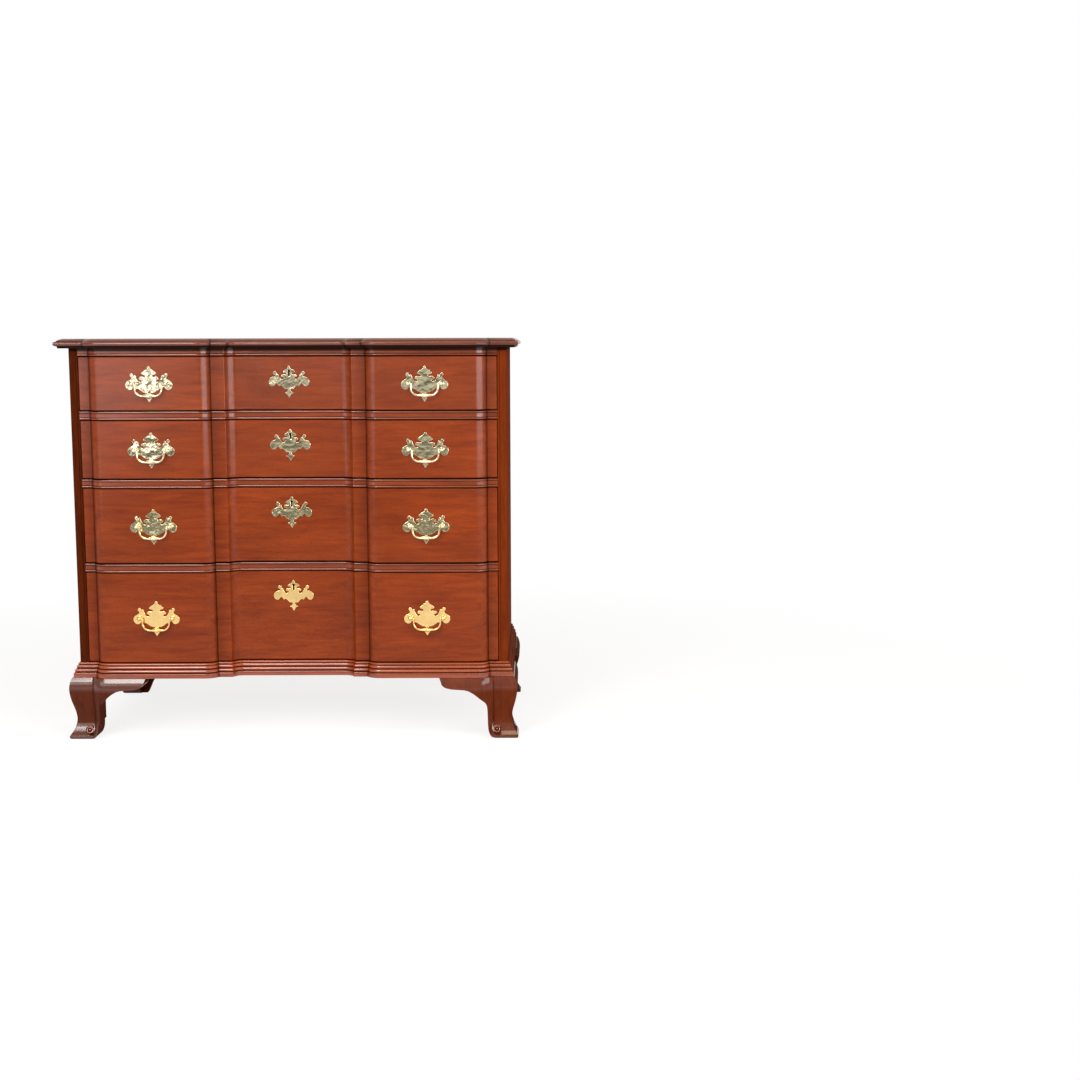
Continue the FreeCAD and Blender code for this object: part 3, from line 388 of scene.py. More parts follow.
# depth below the top board and the painted shade there, where the overhang shades the case
under_top = [(0.0075, 0.0), (0.0050, 0.9), (0.0, 1.0)]
rebate_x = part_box("back_panel")[1].x
rebate_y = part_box("back_panel")[0].y
for side, node, stile_shade in ((-1, "case_side_left", 0.62), (1, "case_side_right", 0.0)):
    low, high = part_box(node)
    inner = min(abs(low.x), abs(high.x))
    outer = max(abs(low.x), abs(high.x))
    # the rebate, the inside, the scratched bead with its quirk, and the eased outer arris
    plan = [(rebate_x, high.y), (rebate_x, rebate_y), (inner, rebate_y), (inner, low.y + 0.0006)]
    for turn in range(180, -1, -20):
        angle = math.radians(turn)
        plan.append((inner + bead_radius + bead_radius * math.cos(angle),
                     low.y + 0.0004 - bead_radius * math.sin(angle)))
    plan += [(inner + reach * bead_radius, low.y + back)
             for reach, back in ((2.1, 0.0008), (2.4, 0.0002), (2.6, 0.0), (3.2, 0.0))]
    plan += [(outer - 0.0012, low.y), (outer - 0.0004, low.y + 0.0004), (outer, low.y + 0.0012),
             (outer, high.y)]
    rings = [[(side * x, y, low.z) for x, y in plan]]
    rings += [[(side * x, y, high.z - depth) for x, y in plan] for depth, painted_shade in under_top]
    mesh = lofted(node + "_beaded", rings, painted_shade=[0.0] + [painted_shade for depth, painted_shade in under_top])
    # painted shade darkens the front of the left stile
    for vertex, shade in zip(mesh.vertices, mesh.attributes["painted_shade"].data):
        if vertex.co.y < low.y + 0.0010:
            shade.value = max(shade.value, stile_shade)
    side_wood = mahogany("mahogany_" + node, "Z", 7.4 + side, tone=0.66, ribbon=0.5, polish=0.0, dry=0.4)
    shaped(node + "_beaded", mesh, side_wood, "case", node)

# Top rail and drawer blades --------------------------------------------------------------------
# Blocked rails of mahogany that divide the drawers.  Each has a small bead along the edges of the
# drawer openings, with a quirk behind it, and a pocket underneath for the bolt of the lock.

rail_proud = 0.0012
pocket_gap = 0.0015
pocket_depth = 0.009
blade_thickness = 0.018
opening_gap = 0.00125


def edge_bead(height, upward):
    """Heights and projections of a bead run along one edge of a rail, from the edge inwards."""
    # the narrow planed flat of a bead lies between these two turns, in degrees
    flat = (12, 34) if upward else (-34, -12)
    round_bead = rounded((0.0021, 0.0011), 0.0021, 0.0014, -90, 90, *flat)
    # painted shade on the bead's edge beside the drawer gap
    places = [(rise, proud, 1.0 if rise < 0.0009 else 0.0) for rise, proud in round_bead]
    # the quirk behind the bead, with painted shade at its bottom
    places += [(0.0043, 0.0004, 1.0), (0.0048, 0.0004, 1.0), (0.0052, rail_proud, 0.0)]
    if upward:
        return [(height + rise, proud, painted_shade) for rise, proud, painted_shade in places]
    return [(height - rise, proud, painted_shade) for rise, proud, painted_shade in reversed(places)]


def cut_out(mesh, solid):
    """A piece with a hole or a pocket cut out of it by a closed solid."""
    board = bpy.data.objects.new("board", mesh)
    cutter = bpy.data.objects.new("cutter", solid)
    bpy.context.scene.collection.objects.link(board)
    bpy.context.scene.collection.objects.link(cutter)
    cut = board.modifiers.new("cut", "BOOLEAN")
    cut.operation = "DIFFERENCE"
    cut.solver = "EXACT"
    cut.object = cutter
    result = bpy.data.meshes.new_from_object(board.evaluated_get(bpy.context.evaluated_depsgraph_get()))
    bpy.data.objects.remove(cutter)
    bpy.data.objects.remove(board)
    result.name = mesh.name
    result.set_sharp_from_angle(angle=math.radians(28))
    crisp(result, [face for face in result.polygons if abs(face.normal.z) > 0.999])
    return result


def blocked_rail(name, low, high, beads, node, bolt):
    """A rail between the sides, with a bead below or two, and the pocket for a lock's bolt cut out."""
    profile = edge_bead(low.z, True)
    if beads == 2:
        profile += edge_bead(high.z, False)
    else:
        profile += [(high.z - depth, rail_proud, painted_shade) for depth, painted_shade in under_top]
    rings = []
    for height, proud, painted_shade in profile:
        line = blocked_line(proud, high.x) + [(high.x, high.y), (low.x, high.y)]
        rings.append([(x, y, height) for x, y in line])
    mesh = lofted(name, rings, painted_shade=[painted_shade for height, proud, painted_shade in profile])
    bolt_low, bolt_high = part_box(bolt)
    left, right = bolt_low.x - pocket_gap, bolt_high.x + pocket_gap
    front, back = bolt_low.y - pocket_gap, bolt_high.y + pocket_gap
    corners = [(left, front), (right, front), (right, back), (left, back)]
    pocket = lofted("pocket", [[(x, y, height) for x, y in corners]
                               for height in (low.z - pocket_gap, low.z + pocket_depth)])
    shaped(name, cut_out(mesh, pocket), rail_wood, "case", node)


rail_wood = mahogany("mahogany_rails", "X", 11.9, tone=0.88, ribbon=0.3, polish=0.7, glint=1.8, grit=0.2)
rail_low, rail_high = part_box("top_rail")
blocked_rail("top_rail_beaded", rail_low, rail_high, 1, "top_rail", "lock_bolt_1")
blade_low, blade_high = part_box("drawer_blades")
for drawer in (2, 3, 4):
    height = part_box("drawer_front_%d" % drawer)[1].z + opening_gap
    low = Vector((blade_low.x, blade_low.y, height))
    high = Vector((blade_high.x, blade_high.y, height + blade_thickness))
    blocked_rail("drawer_blade_%d" % drawer, low, high, 2, "drawer_blades", "lock_bolt_%d" % drawer)

# Base moulding ---------------------------------------------------------------------------------
# Three small beads stepping out over a plain fascia, mitred at the front corners.  It is glued
# round the foot of the case, and the front length follows the blocking.

base_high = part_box("base_moulding_front")[1]
case_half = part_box("case_side_right")[1].x
case_back = 0.245
opening_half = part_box("top_rail")[1].x
# height above the floor, projection and painted shade, from the fascia's lower edge to the upper bead
base_profile = [(0.1330, 0.0117, 0.2), (0.1334, 0.0121, 0.0)]
for turn in range(0, 91, 15):
    angle = math.radians(turn)
    base_profile.append((0.1408 + 0.0024 * math.sin(angle), 0.0097 + 0.0024 * math.cos(angle),
                         1.0 if turn == 90 else 0.3))
# height of the middle, half height, projection and swell of each bead
for middle, half, proud, swell in ((0.1473, 0.0038, 0.0058, 0.0044), (0.1551, 0.0038, 0.0024, 0.0044),
                                   (0.1615, 0.0024, 0.0008, 0.0030)):
    bead = rounded((middle, proud), half, swell, -75, 90, 11, 34)
    # painted shade in the quirks between the beads
    bead_shade = [1.0, 0.5] + [0.0] * (len(bead) - 4) + [0.5, 1.0]
    base_profile += [(height, reach, painted_shade) for (height, reach), painted_shade in zip(bead, bead_shade)]
base_profile[-1] = (base_high.z, 0.0008, 0.3)
base_shade = [painted_shade for height, proud, painted_shade in base_profile]
inside = [(case_half, block_flat), (opening_half, block_flat), (opening_half, base_high.y)]
inside += [(-x, y) for x, y in reversed(inside)]
rings = []
for height, proud, painted_shade in base_profile:
    rings.append([(x, y, height) for x, y in blocked_line(proud, case_half + proud) + inside])
mesh = lofted("base_moulding_front_beaded", rings, painted_shade=base_shade)
base_wood = mahogany("mahogany_base", "X", 17.3, tone=1.34, ribbon=0.4, polish=0.5, glint=2.4, grit=0.1)
shaped("base_moulding_front_beaded", mesh, base_wood, "case", "base_moulding_front")

# the sides of the moulding take a darker, unpolished copy of its wood: painted shade
base_side_shade_wood = mahogany("mahogany_base_sides_shaded", "Y", 18.6, tone=0.60, ribbon=0.4, polish=0.0, dry=0.4)
for side, name in ((-1, "left"), (1, "right")):
    rings = []
    for height, proud, painted_shade in base_profile:
        plan = [(case_half, block_flat), (case_half + proud, block_flat - proud),
                (case_half + proud, case_back), (case_half, case_back)]
        rings.append([(side * x, y, height) for x, y in plan])
    mesh = lofted("base_moulding_side_" + name, rings, painted_shade=base_shade)
    shaped("base_moulding_side_" + name, mesh, base_side_shade_wood, "case", "base_moulding_sides")

# Ogee bracket feet -----------------------------------------------------------------------------
# Each foot is a pair of brackets sawn to an arch, shaped to an ogee and mitred at the corner.  The
# toe is carved with a volute and stands on a pad; the rear feet have a plain board across the back.


def span_before(places, at):
    """Index of the last pair of place and value, short of the final one, that lies before a place."""
    return min(max(bisect.bisect_right([spot for spot, value in places], at) - 1, 0), len(places) - 2)


def eased(places, at):
    """The value at a place on a smooth line through pairs of place and value."""
    index = span_before(places, at)
    (start, low), (stop, high) = places[index], places[index + 1]
    before = places[max(index - 1, 0)]
    after = places[min(index + 2, len(places) - 1)]
    run = stop - start
    share = (at - start) / run
    slope_in = (high - before[1]) / (stop - before[0]) * run
    slope_out = (after[1] - low) / (after[0] - start) * run
    return ((2 * share ** 3 - 3 * share ** 2 + 1) * low
            + (share ** 3 - 2 * share ** 2 + share) * slope_in
            + (3 * share ** 2 - 2 * share ** 3) * high
            + (share ** 3 - share ** 2) * slope_out)


# height above the floor and how far the outside stands out from the case, in millimetres
ogee = [(0, 19.2), (1.2, 21.0), (3, 22.2), (5.5, 22.6), (7.4, 22.5), (8.4, 21.8), (11, 19.8),
        (15, 17.0), (20, 14.2), (25, 12.0), (35, 9.3), (45, 8.6), (60, 10.8), (72, 14.0), (83, 17.0),
        (98, 19.8), (108, 20.6), (116, 20.1), (125, 18.2), (133, 14.7)]
# height and distance in from the case's corner to the sawn inner edge, in millimetres
sawn = [(0, 24.6), (1.2, 28.6), (3, 31.8), (6, 35.0), (10, 37.8), (16, 40.4), (22, 41.8), (30, 42.4),
        (45, 42.8), (60, 43.2), (70, 44.0), (74, 45.2), (78, 47.0), (81.5, 50.2), (85, 54.8),
        (88.5, 59.2), (92, 63.3), (95.7, 67.6), (99.5, 72.4), (105.4, 82.6), (107.9, 91.5),
        (109.7, 118.3), (112, 129.1), (114.6, 135.2), (119.4, 140.0), (126, 142.0), (133, 145.0)]
# heights at which the brackets are drawn, in millimetres
foot_rows = [0, 0.5, 1.2, 2, 3.5, 5.5, 7.2, 7.8, 8.2, 8.6, 9.6, 11, 12.4, 14, 15.5, 17, 18.5, 20, 22.5,
             25, 28, 31, 35, 40, 45, 50, 55, 60, 65, 70, 74, 78, 81.5, 85, 88.5, 92, 95.7, 99.5, 102.5,
             105.4, 106.7, 107.9, 108.8, 109.7, 110.8, 112, 113.3, 114.6, 117, 119.4, 122.7, 126,
             129.5, 133]
# x at which the raised block starts on the front bracket
foot_crease = 0.4280
bracket_thickness = 0.020


def sawn_edge(height):
    """Distance from the case's corner to the inner edge of a bracket at a height in millimetres."""
    index = span_before(sawn, height)
    (start, low), (stop, high) = sawn[index], sawn[index + 1]
    share = (height - start) / (stop - start)
    return (low * (1 - share) + high * share) / 1000


def front_face(x, proud):
    """How far forward the front bracket reaches at x: flat at the corner, raised along the block."""
    bulge = block_radius + proud / 2
    run = math.sqrt(bulge ** 2 - (bulge - block_step) ** 2)
    inward = x - (foot_crease - run)
    if inward <= 0:
        return block_flat - proud - block_step
    if inward >= run:
        return block_flat - proud
    return block_flat - proud - block_step + bulge - math.sqrt(bulge ** 2 - inward ** 2)


def walled(name, outer, inner):
    """A solid between an outer and an inner sheet of rows, closed along every edge.

    The outer sheet is of the piece's first wood and the inner one of its second.
    """
    form = bmesh.new()
    sheets = [[[form.verts.new(point) for point in row] for row in sheet] for sheet in (outer, inner)]
    for index, sheet in enumerate(sheets):
        for lower, upper in zip(sheet, sheet[1:]):
            for step in range(len(lower) - 1):
                face = form.faces.new((lower[step], lower[step + 1], upper[step + 1], upper[step]))
                face.material_index = index
    front, back = sheets
    edges = [(front[row], back[row]) for row in (0, -1)]
    edges += [([row[end] for row in front], [row[end] for row in back]) for end in (0, -1)]
    for near, far in edges:
        for step in range(len(near) - 1):
            form.faces.new((near[step], near[step + 1], far[step + 1], far[step]))
    bmesh.ops.remove_doubles(form, verts=form.verts, dist=0.00002)
    bmesh.ops.dissolve_degenerate(form, dist=0.00002, edges=form.edges)
    for face in form.faces:
        face.smooth = True
    bmesh.ops.recalc_face_normals(form, faces=form.faces)
    mesh = as_mesh(name, form)
    mesh.set_sharp_from_angle(angle=math.radians(34))
    return mesh


def made_solid(name, curve):
    """The smooth mesh of a curve's bevelled or filled shape."""
    holder = bpy.data.objects.new(name, curve)
    bpy.context.scene.collection.objects.link(holder)
    mesh = bpy.data.meshes.new_from_object(holder.evaluated_get(bpy.context.evaluated_depsgraph_get()))
    bpy.data.objects.remove(holder)
    mesh.shade_smooth()
    mesh.name = name
    return mesh


def rod(name, points, radii, sides=10):
    """A round bar along a line of points, with a radius for each point."""
    curve = bpy.data.curves.new(name, "CURVE")
    curve.dimensions = "3D"
    curve.bevel_depth = 1.0
    curve.bevel_resolution = sides // 2 - 1
    curve.use_fill_caps = True
    line = curve.splines.new("POLY")
    line.points.add(len(points) - 1)
    for spot, place, radius in zip(line.points, points, radii):
        spot.co = (*place, 1)
        spot.radius = radius
    return made_solid(name, curve)


def joined(name, meshes):
    """Several meshes put together as one."""
    form = bmesh.new()
    for mesh in meshes:
        form.from_mesh(mesh)
    return as_mesh(name, form)


# where the duller waist of a foot starts and stops, and how fast it fades, in millimetres
waist_low = 27
waist_high = 112
waist_fade = 9


def shaded_sides_and_dull_waist(mesh):
    """The sides of a foot given the darker wood of its inside as painted shade, and the duller waist
    between its two swells.
    """
    for polygon in mesh.polygons:
        if abs(polygon.normal.x) > 0.8 and polygon.material_index == 0:
            polygon.material_index = 1
    amounts = []
    for vertex in mesh.vertices:
        height = vertex.co.z * 1000
        above = max((height - waist_low) / waist_fade, 0)
        below = max((waist_high - height) / waist_fade, 0)
        amounts.append(0.95 * min(above, below, 1))
    mesh.attributes.new("rubbed", "FLOAT", "POINT").data.foreach_set("value", amounts)
    mesh.set_sharp_from_angle(angle=math.radians(34))
    return mesh


# middle of the volute: distance from the middle of the case, and height above the floor
volute_across = 0.4340
volute_height = 0.0232
# radius and rise of the sunk ground of the volute, from its underside to its middle
volute_ground = [(0.0086, -0.0020), (0.0086, 0.0002), (0.0082, 0.0004), (0.0050, 0.0004),
                 (0.0002, 0.0004)]
# the tail that runs up from the volute, in millimetres from its middle, and its radii
volute_tail = [(-5.6, -5.4), (-8.0, -3.0), (-9.4, 0.5), (-9.6, 4.0), (-8.8, 8.0), (-7.6, 12.0)]
tail_radii = [0.0009, 0.0012, 0.0012, 0.0011, 0.0009, 0.0005]


def on_toe(side, face, across, up, rise):
    """A place near the volute on the front or the side of a toe, risen a little from the wood."""
    height = volute_height + up
    lift = eased(ogee, height * 1000) / 1000 + rise
    if face == "front":
        return (side * (volute_across + across), block_flat - block_step - lift, height)
    return (side * (case_half + lift), block_flat + case_half - (volute_across + across), height)


def volute(side, face):
    """The carved volute on one face of a toe: its ground, its scroll, its tail and its eye."""
    rings = []
    for reach, rise in volute_ground:
        rings.append([on_toe(side, face, reach * math.cos(math.tau * step / 28),
                             reach * math.sin(math.tau * step / 28), rise) for step in range(28)])
    ground = lofted("ground", rings)
    # the scroll winds inwards by one turn and a third
    line = []
    thick = []
    for step in range(49):
        turn = math.radians(150 - step * 10.0)
        radius = 0.0078 - 0.0034 * step / 48
        line.append(on_toe(side, face, -radius * math.cos(turn), radius * math.sin(turn), 0.0008))
        thick.append(0.0011 - 0.0004 * step / 48)
    scroll = rod("scroll", line, thick)
    line = [on_toe(side, face, x / 1000, z / 1000, 0.0004) for x, z in volute_tail]
    tail = rod("tail", line, tail_radii)
    form = bmesh.new()
    bmesh.ops.create_icosphere(form, subdivisions=3, radius=0.0021)
    bmesh.ops.translate(form, vec=Vector(on_toe(side, face, 0, 0, 0.0004)), verts=form.verts)
    eye = as_mesh("eye", form)
    eye.shade_smooth()
    # the sunk ground takes the darker wood as painted shade, and the scroll, tail and eye the lighter
    # wood as painted highlight
    for mesh, wood in ((ground, 1), (scroll, 2), (tail, 2), (eye, 2)):
        for polygon in mesh.polygons:
            polygon.material_index = wood
    return [ground, scroll, tail, eye]


# x of the columns of points along the front bracket, and distances back along the side one
front_marks = [0.452, 0.447, 0.442, 0.438, 0.434, 0.431, 0.4281, 0.4279, 0.4265, 0.4245, 0.422,
               0.419, 0.4155, 0.412, 0.408, 0.404, 0.400, 0.396, 0.391, 0.380, 0.365, 0.350, 0.335,
               0.322, 0.312]
side_marks = [0.006, 0.012, 0.018, 0.024, 0.030, 0.036, 0.041, 0.050, 0.060, 0.075, 0.090, 0.105,
              0.120, 0.133, 0.145]
# one wood in two copies: darker for the left feet as painted shade, lighter for the right
lit_and_shaded_foot_woods = {-1: mahogany("mahogany_feet_left_shaded", "Z", 23.7, tone=0.40, ribbon=0.5, glint=1.72, grit=0.1),
              1: mahogany("mahogany_feet_right_lit", "Z", 26.2, tone=0.56, ribbon=0.5, glint=1.5, grit=0.1)}
# a much lighter copy of the feet's wood for the volute's scroll: a painted highlight
foot_highlight_wood = mahogany("mahogany_feet_painted_highlight", "Z", 25.3, tone=1.0, ribbon=0.5, glint=2.6, grit=0.0)
# dark unpolished wood for the inside of the feet and the glue blocks, also laid on the feet's sides as
# painted shade
foot_back_and_shade_wood = mahogany("mahogany_feet_inside_and_shade", "Z", 24.9, tone=0.32, ribbon=0.5, polish=0.0, dry=0.4)
inner_face = case_half - bracket_thickness
for side, name in ((-1, "left"), (1, "right")):
    outer = []
    inner = []
    for row in foot_rows:
        proud = eased(ogee, row) / 1000
        reach = sawn_edge(row)
        columns = [max(mark, case_half - reach) for mark in reversed(front_marks)]
        depths = [min(mark, reach) for mark in side_marks]
        outside = [(x, front_face(x, proud)) for x in columns]
        outside += [(case_half + proud, block_flat + depth) for depth in [-proud] + depths]
        inside = [(min(x, inner_face), block_flat + bracket_thickness) for x in columns]
        inside += [(inner_face, block_flat + max(depth, bracket_thickness)) for depth in [0.0] + depths]
        outer.append([(side * x, y, row / 1000) for x, y in outside])
        inner.append([(side * x, y, row / 1000) for x, y in inside])
    foot = "foot_front_" + name
    wood = [walled("brackets", outer, inner)] + volute(side, "front") + volute(side, "side")
    mesh = shaded_sides_and_dull_waist(joined(foot + "_carved", wood))
    shaped(foot + "_carved", mesh, lit_and_shaded_foot_woods[side], "case", foot)
    mesh.materials.append(foot_back_and_shade_wood)
    mesh.materials.append(foot_highlight_wood)

# a darker, less polished copy of the feet's wood for the rear feet; the darkness is painted shade
foot_rear_shade_wood = mahogany("mahogany_feet_rear_shaded", "Z", 27.8, tone=0.30, ribbon=0.5, polish=0.2, dry=0.2)
plank_thickness = 0.019
# height and x of the plain sawn slope of the planks across the back, in millimetres
slope = [(0, 424), (34, 407), (88, 359), (133, 312)]
for side, name in ((-1, "left"), (1, "right")):
    outer = []
    inner = []
    for row in foot_rows:
        outside = side * (case_half + eased(ogee, row) / 1000)
        columns = [case_back - min(mark, sawn_edge(row)) for mark in reversed(side_marks)] + [case_back]
        outer.append([(outside, y, row / 1000) for y in columns])
        inner.append([(side * inner_face, y, row / 1000) for y in columns])
    bracket = walled("bracket", outer, inner)
    outer = []
    inner = []
    for row in foot_rows:
        reach = max(sawn_edge(row), case_half - eased(slope, row) / 1000)
        columns = [inner_face - min(mark, reach - bracket_thickness) for mark in [0.0] + side_marks]
        outer.append([(side * x, case_back, row / 1000) for x in columns])
        inner.append([(side * x, case_back - plank_thickness, row / 1000) for x in columns])
    plank = walled("plank", outer, inner)
    foot = "foot_rear_" + name
    mesh = shaded_sides_and_dull_waist(joined(foot + "_shaped", [bracket, plank]))
    shaped(foot + "_shaped", mesh, foot_rear_shade_wood, "case", foot)
    mesh.materials.append(foot_back_and_shade_wood)

# Back, bottom, runners, stops and glue blocks --------------------------------------------------
# The carcase boards that don't show from the front are of a pale secondary wood, planed and left
# without polish.  They are housed, glued or screwed inside the case.


def two_tone(tree, value, start, first, stop, last):
    """A colour that runs from a first to a last one as a value goes from start to stop."""
    colours = tree.nodes.new("ShaderNodeValToRGB")
    tree.links.new(value, colours.inputs[0])
    for end, position, tint in zip(colours.color_ramp.elements, (start, stop), (first, last)):
        end.position = position
        end.color = (*tint, 1)
    return colours.outputs[0]


def plain_wood(name, along, seed, dark, light):
    """Unpolished pale wood: straight grain, fine pores and a dry surface."""
    material = bpy.data.materials.new(name)
    tree = fresh_tree(material)
    stretch = {"X": (1, 14, 14), "Y": (14, 1, 14), "Z": (14, 14, 1)}[along]
    place = tree.nodes.new("ShaderNodeTexCoord").outputs["Object"]
    grain = added(tree, "Mapping", Vector=place, Scale=stretch,
                  Location=(seed * 1.1, seed * 0.6, seed * 1.7)).outputs[0]
    bands = added(tree, "TexNoise", Vector=grain, Scale=3.0, Detail=6.0, Roughness=0.55, Distortion=0.4)
    fibres = added(tree, "TexNoise", Vector=grain, Scale=60.0, Detail=3.0, Roughness=0.6).outputs[0]
    mixed = added(tree, "Math", operation="MULTIPLY_ADD", i0=fibres, i1=0.35, i2=bands.outputs[0])
    colours = two_tone(tree, mixed.outputs[0], 0.45, dark, 0.90, light)
    bump = added(tree, "Bump", Strength=0.15, Distance=0.0004, Height=fibres)
    skin = added(tree, "BsdfPrincipled", Roughness=0.62, Normal=bump.outputs[0],
                 **{"Base Color": colours, "Specular IOR Level": 0.35})
    added(tree, "OutputMaterial", Surface=skin.outputs[0])
    return material


def surfaced(node, material):
    """A solid that already has its right shape is given its material."""
    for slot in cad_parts[node].material_slots:
        slot.material = material


back_wood = plain_wood("poplar_back", "Z", 2.2, (0.30, 0.19, 0.10), (0.46, 0.33, 0.19))
inner_wood = plain_wood("poplar_carcase", "Y", 4.9, (0.40, 0.28, 0.16), (0.58, 0.44, 0.27))
surfaced("back_panel", back_wood)
for node in ("bottom_board", "drawer_runners", "drawer_stops"):
    surfaced(node, inner_wood)
surfaced("glue_blocks", foot_back_and_shade_wood)

# Drawers ---------------------------------------------------------------------------------------
# Four graduated drawers.  Each front is cut from one thick mahogany board to the blocked line and
# its edges are eased; the sides and back are of pale wood, and the bottom sits in their grooves.

drawer_wood = plain_wood("oak_drawer_sides", "Y", 6.1, (0.42, 0.29, 0.16), (0.60, 0.45, 0.27))
drawer_back_wood = plain_wood("oak_drawer_backs", "X", 8.8, (0.42, 0.29, 0.16), (0.60, 0.45, 0.27))
drawer_side_thickness = 0.012
# outline of a keyhole in millimetres from the middle of its round; c marks a corner
keyhole = [(2.8 * math.cos(math.radians(turn)), 2.8 * math.sin(math.radians(turn)), "c")
           for turn in range(-53, 234, 22)]
keyhole += [(-1.7, -11.2, "c"), (1.7, -11.2, "c")]
keyhole_drop = 0.0108
# rise from the lower or upper edge of a front, how far the face stands proud there, and the painted
# shade in the rows of the lower and of the upper edge, which darkens the gaps round the drawer
front_easing = [(0.0, -0.0040), (0.0, -0.0016), (0.0003, -0.0009), (0.0005, -0.0007), (0.0013, -0.0004),
                (0.0018, 0.0), (0.0026, 0.0)]
lower_shade = [0.0, 1.0, 1.0, 1.0, 0.6, 0.0, 0.0]
upper_shade = [0.0, 0.0, 0.0, 0.4, 1.0, 1.0, 0.0]
front_tones = (0.90, 0.95, 0.95, 0.93)
front_polish = (0.64, 0.48, 0.36, 0.27)
for drawer, tone, polish in zip((1, 2, 3, 4), front_tones, front_polish):
    body = "drawer_%d" % drawer
    node = "drawer_front_%d" % drawer
    low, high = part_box(node)
    sides_low, sides_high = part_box("drawer_sides_%d" % drawer)
    inner_half = sides_high.x - drawer_side_thickness
    back = [(high.x, sides_low.y), (inner_half, sides_low.y), (inner_half, high.y)]
    back += [(-x, y) for x, y in reversed(back)]
    heights = [(low.z + rise, proud) for rise, proud in front_easing]
    heights += [(high.z - rise, proud) for rise, proud in reversed(front_easing)]
    rings = []
    for height, proud in heights:
        rings.append([(x, y, height) for x, y in blocked_line(proud, high.x + proud / 2) + back])
    mesh = lofted(node + "_blocked", rings, painted_shade=lower_shade + upper_shade)
    key_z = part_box("escutcheon_%d" % drawer)[1].z - keyhole_drop
    hole = lofted("hole", [[(x / 1000, y, key_z + z / 1000) for x, z, corner in keyhole]
                           for y in (block_flat - 0.03, high.y + 0.01)])
    wood = mahogany("mahogany_" + body, "X", 31.0 + 5.3 * drawer, tone=tone, ribbon=0.7, polish=polish)
    shaped(node + "_blocked", cut_out(mesh, hole), wood, body, node)
    surfaced("drawer_sides_%d" % drawer, drawer_wood)
    surfaced("drawer_back_%d" % drawer, drawer_back_wood)
    surfaced("drawer_bottom_%d" % drawer, drawer_back_wood)

# Pulls -----------------------------------------------------------------------------------------
# Cast and polished brass: a pierced-outline back plate, two turned posts that pass through the
# drawer front to a nut, and a bail with a swollen grip that hangs between the posts.


def brass(name, seed, dents, patchy, base):
    """Polished brass with a faint lacquer, small dents in its shine and dull patches."""
    material = bpy.data.materials.new(name)
    tree = fresh_tree(material)
    place = tree.nodes.new("ShaderNodeTexCoord").outputs["Object"]
    shift = added(tree, "Mapping", Vector=place, Location=(seed, seed * 0.7, seed * 1.3)).outputs[0]
    patches = added(tree, "TexNoise", Vector=shift, Scale=52.0, Detail=2.0, Roughness=0.5).outputs[0]
    grit = added(tree, "TexNoise", Vector=shift, Scale=900.0, Detail=2.0, Roughness=0.6).outputs[0]
    colours = two_tone(tree, patches, 0.30, [patchy * part for part in base], 0.62, base)
    dull = ranged(tree, patches, 0.3, 0.7, 0.17, 0.09)
    relief = added(tree, "Math", operation="MULTIPLY_ADD", i0=grit, i1=0.015, i2=patches)
    bump = added(tree, "Bump", Strength=dents, Distance=0.002, Height=relief.outputs[0])
    skin = added(tree, "BsdfPrincipled", Metallic=1.0, Roughness=dull, Normal=bump.outputs[0],
                 **{"Base Color": colours})
    added(tree, "OutputMaterial", Surface=skin.outputs[0])
    return material


plate_bevel = 0.0007


def cast_plate(name, half, thickness, centre, front_y, holes=()):
    """A flat plate cut to a mirrored outline, with a small bevel round its edge."""
    curve = bpy.data.curves.new(name, "CURVE")
    curve.dimensions = "2D"
    curve.fill_mode = "BOTH"
    curve.resolution_u = 5
    curve.bevel_depth = plate_bevel
    curve.bevel_resolution = 2
    curve.offset = -plate_bevel
    curve.extrude = thickness / 2 - plate_bevel
    whole = half + [(-x, z, *corner) for x, z, *corner in reversed(half) if x > 0]
    for places in [whole] + list(holes):
        line = curve.splines.new("BEZIER")
        line.use_cyclic_u = True
        line.bezier_points.add(len(places) - 1)
        for spot, (x, z, *corner) in zip(line.bezier_points, places):
            spot.co = (x / 1000, z / 1000, 0)
            spot.handle_left_type = spot.handle_right_type = "VECTOR" if corner else "AUTO"
    mesh = made_solid(name, curve)
    upright = Matrix.Rotation(math.radians(90), 4, "X")
    mesh.transform(Matrix.Translation((centre[0], front_y + thickness / 2, centre[1])) @ upright)
    mesh.set_sharp_from_angle(angle=math.radians(40))
    return mesh


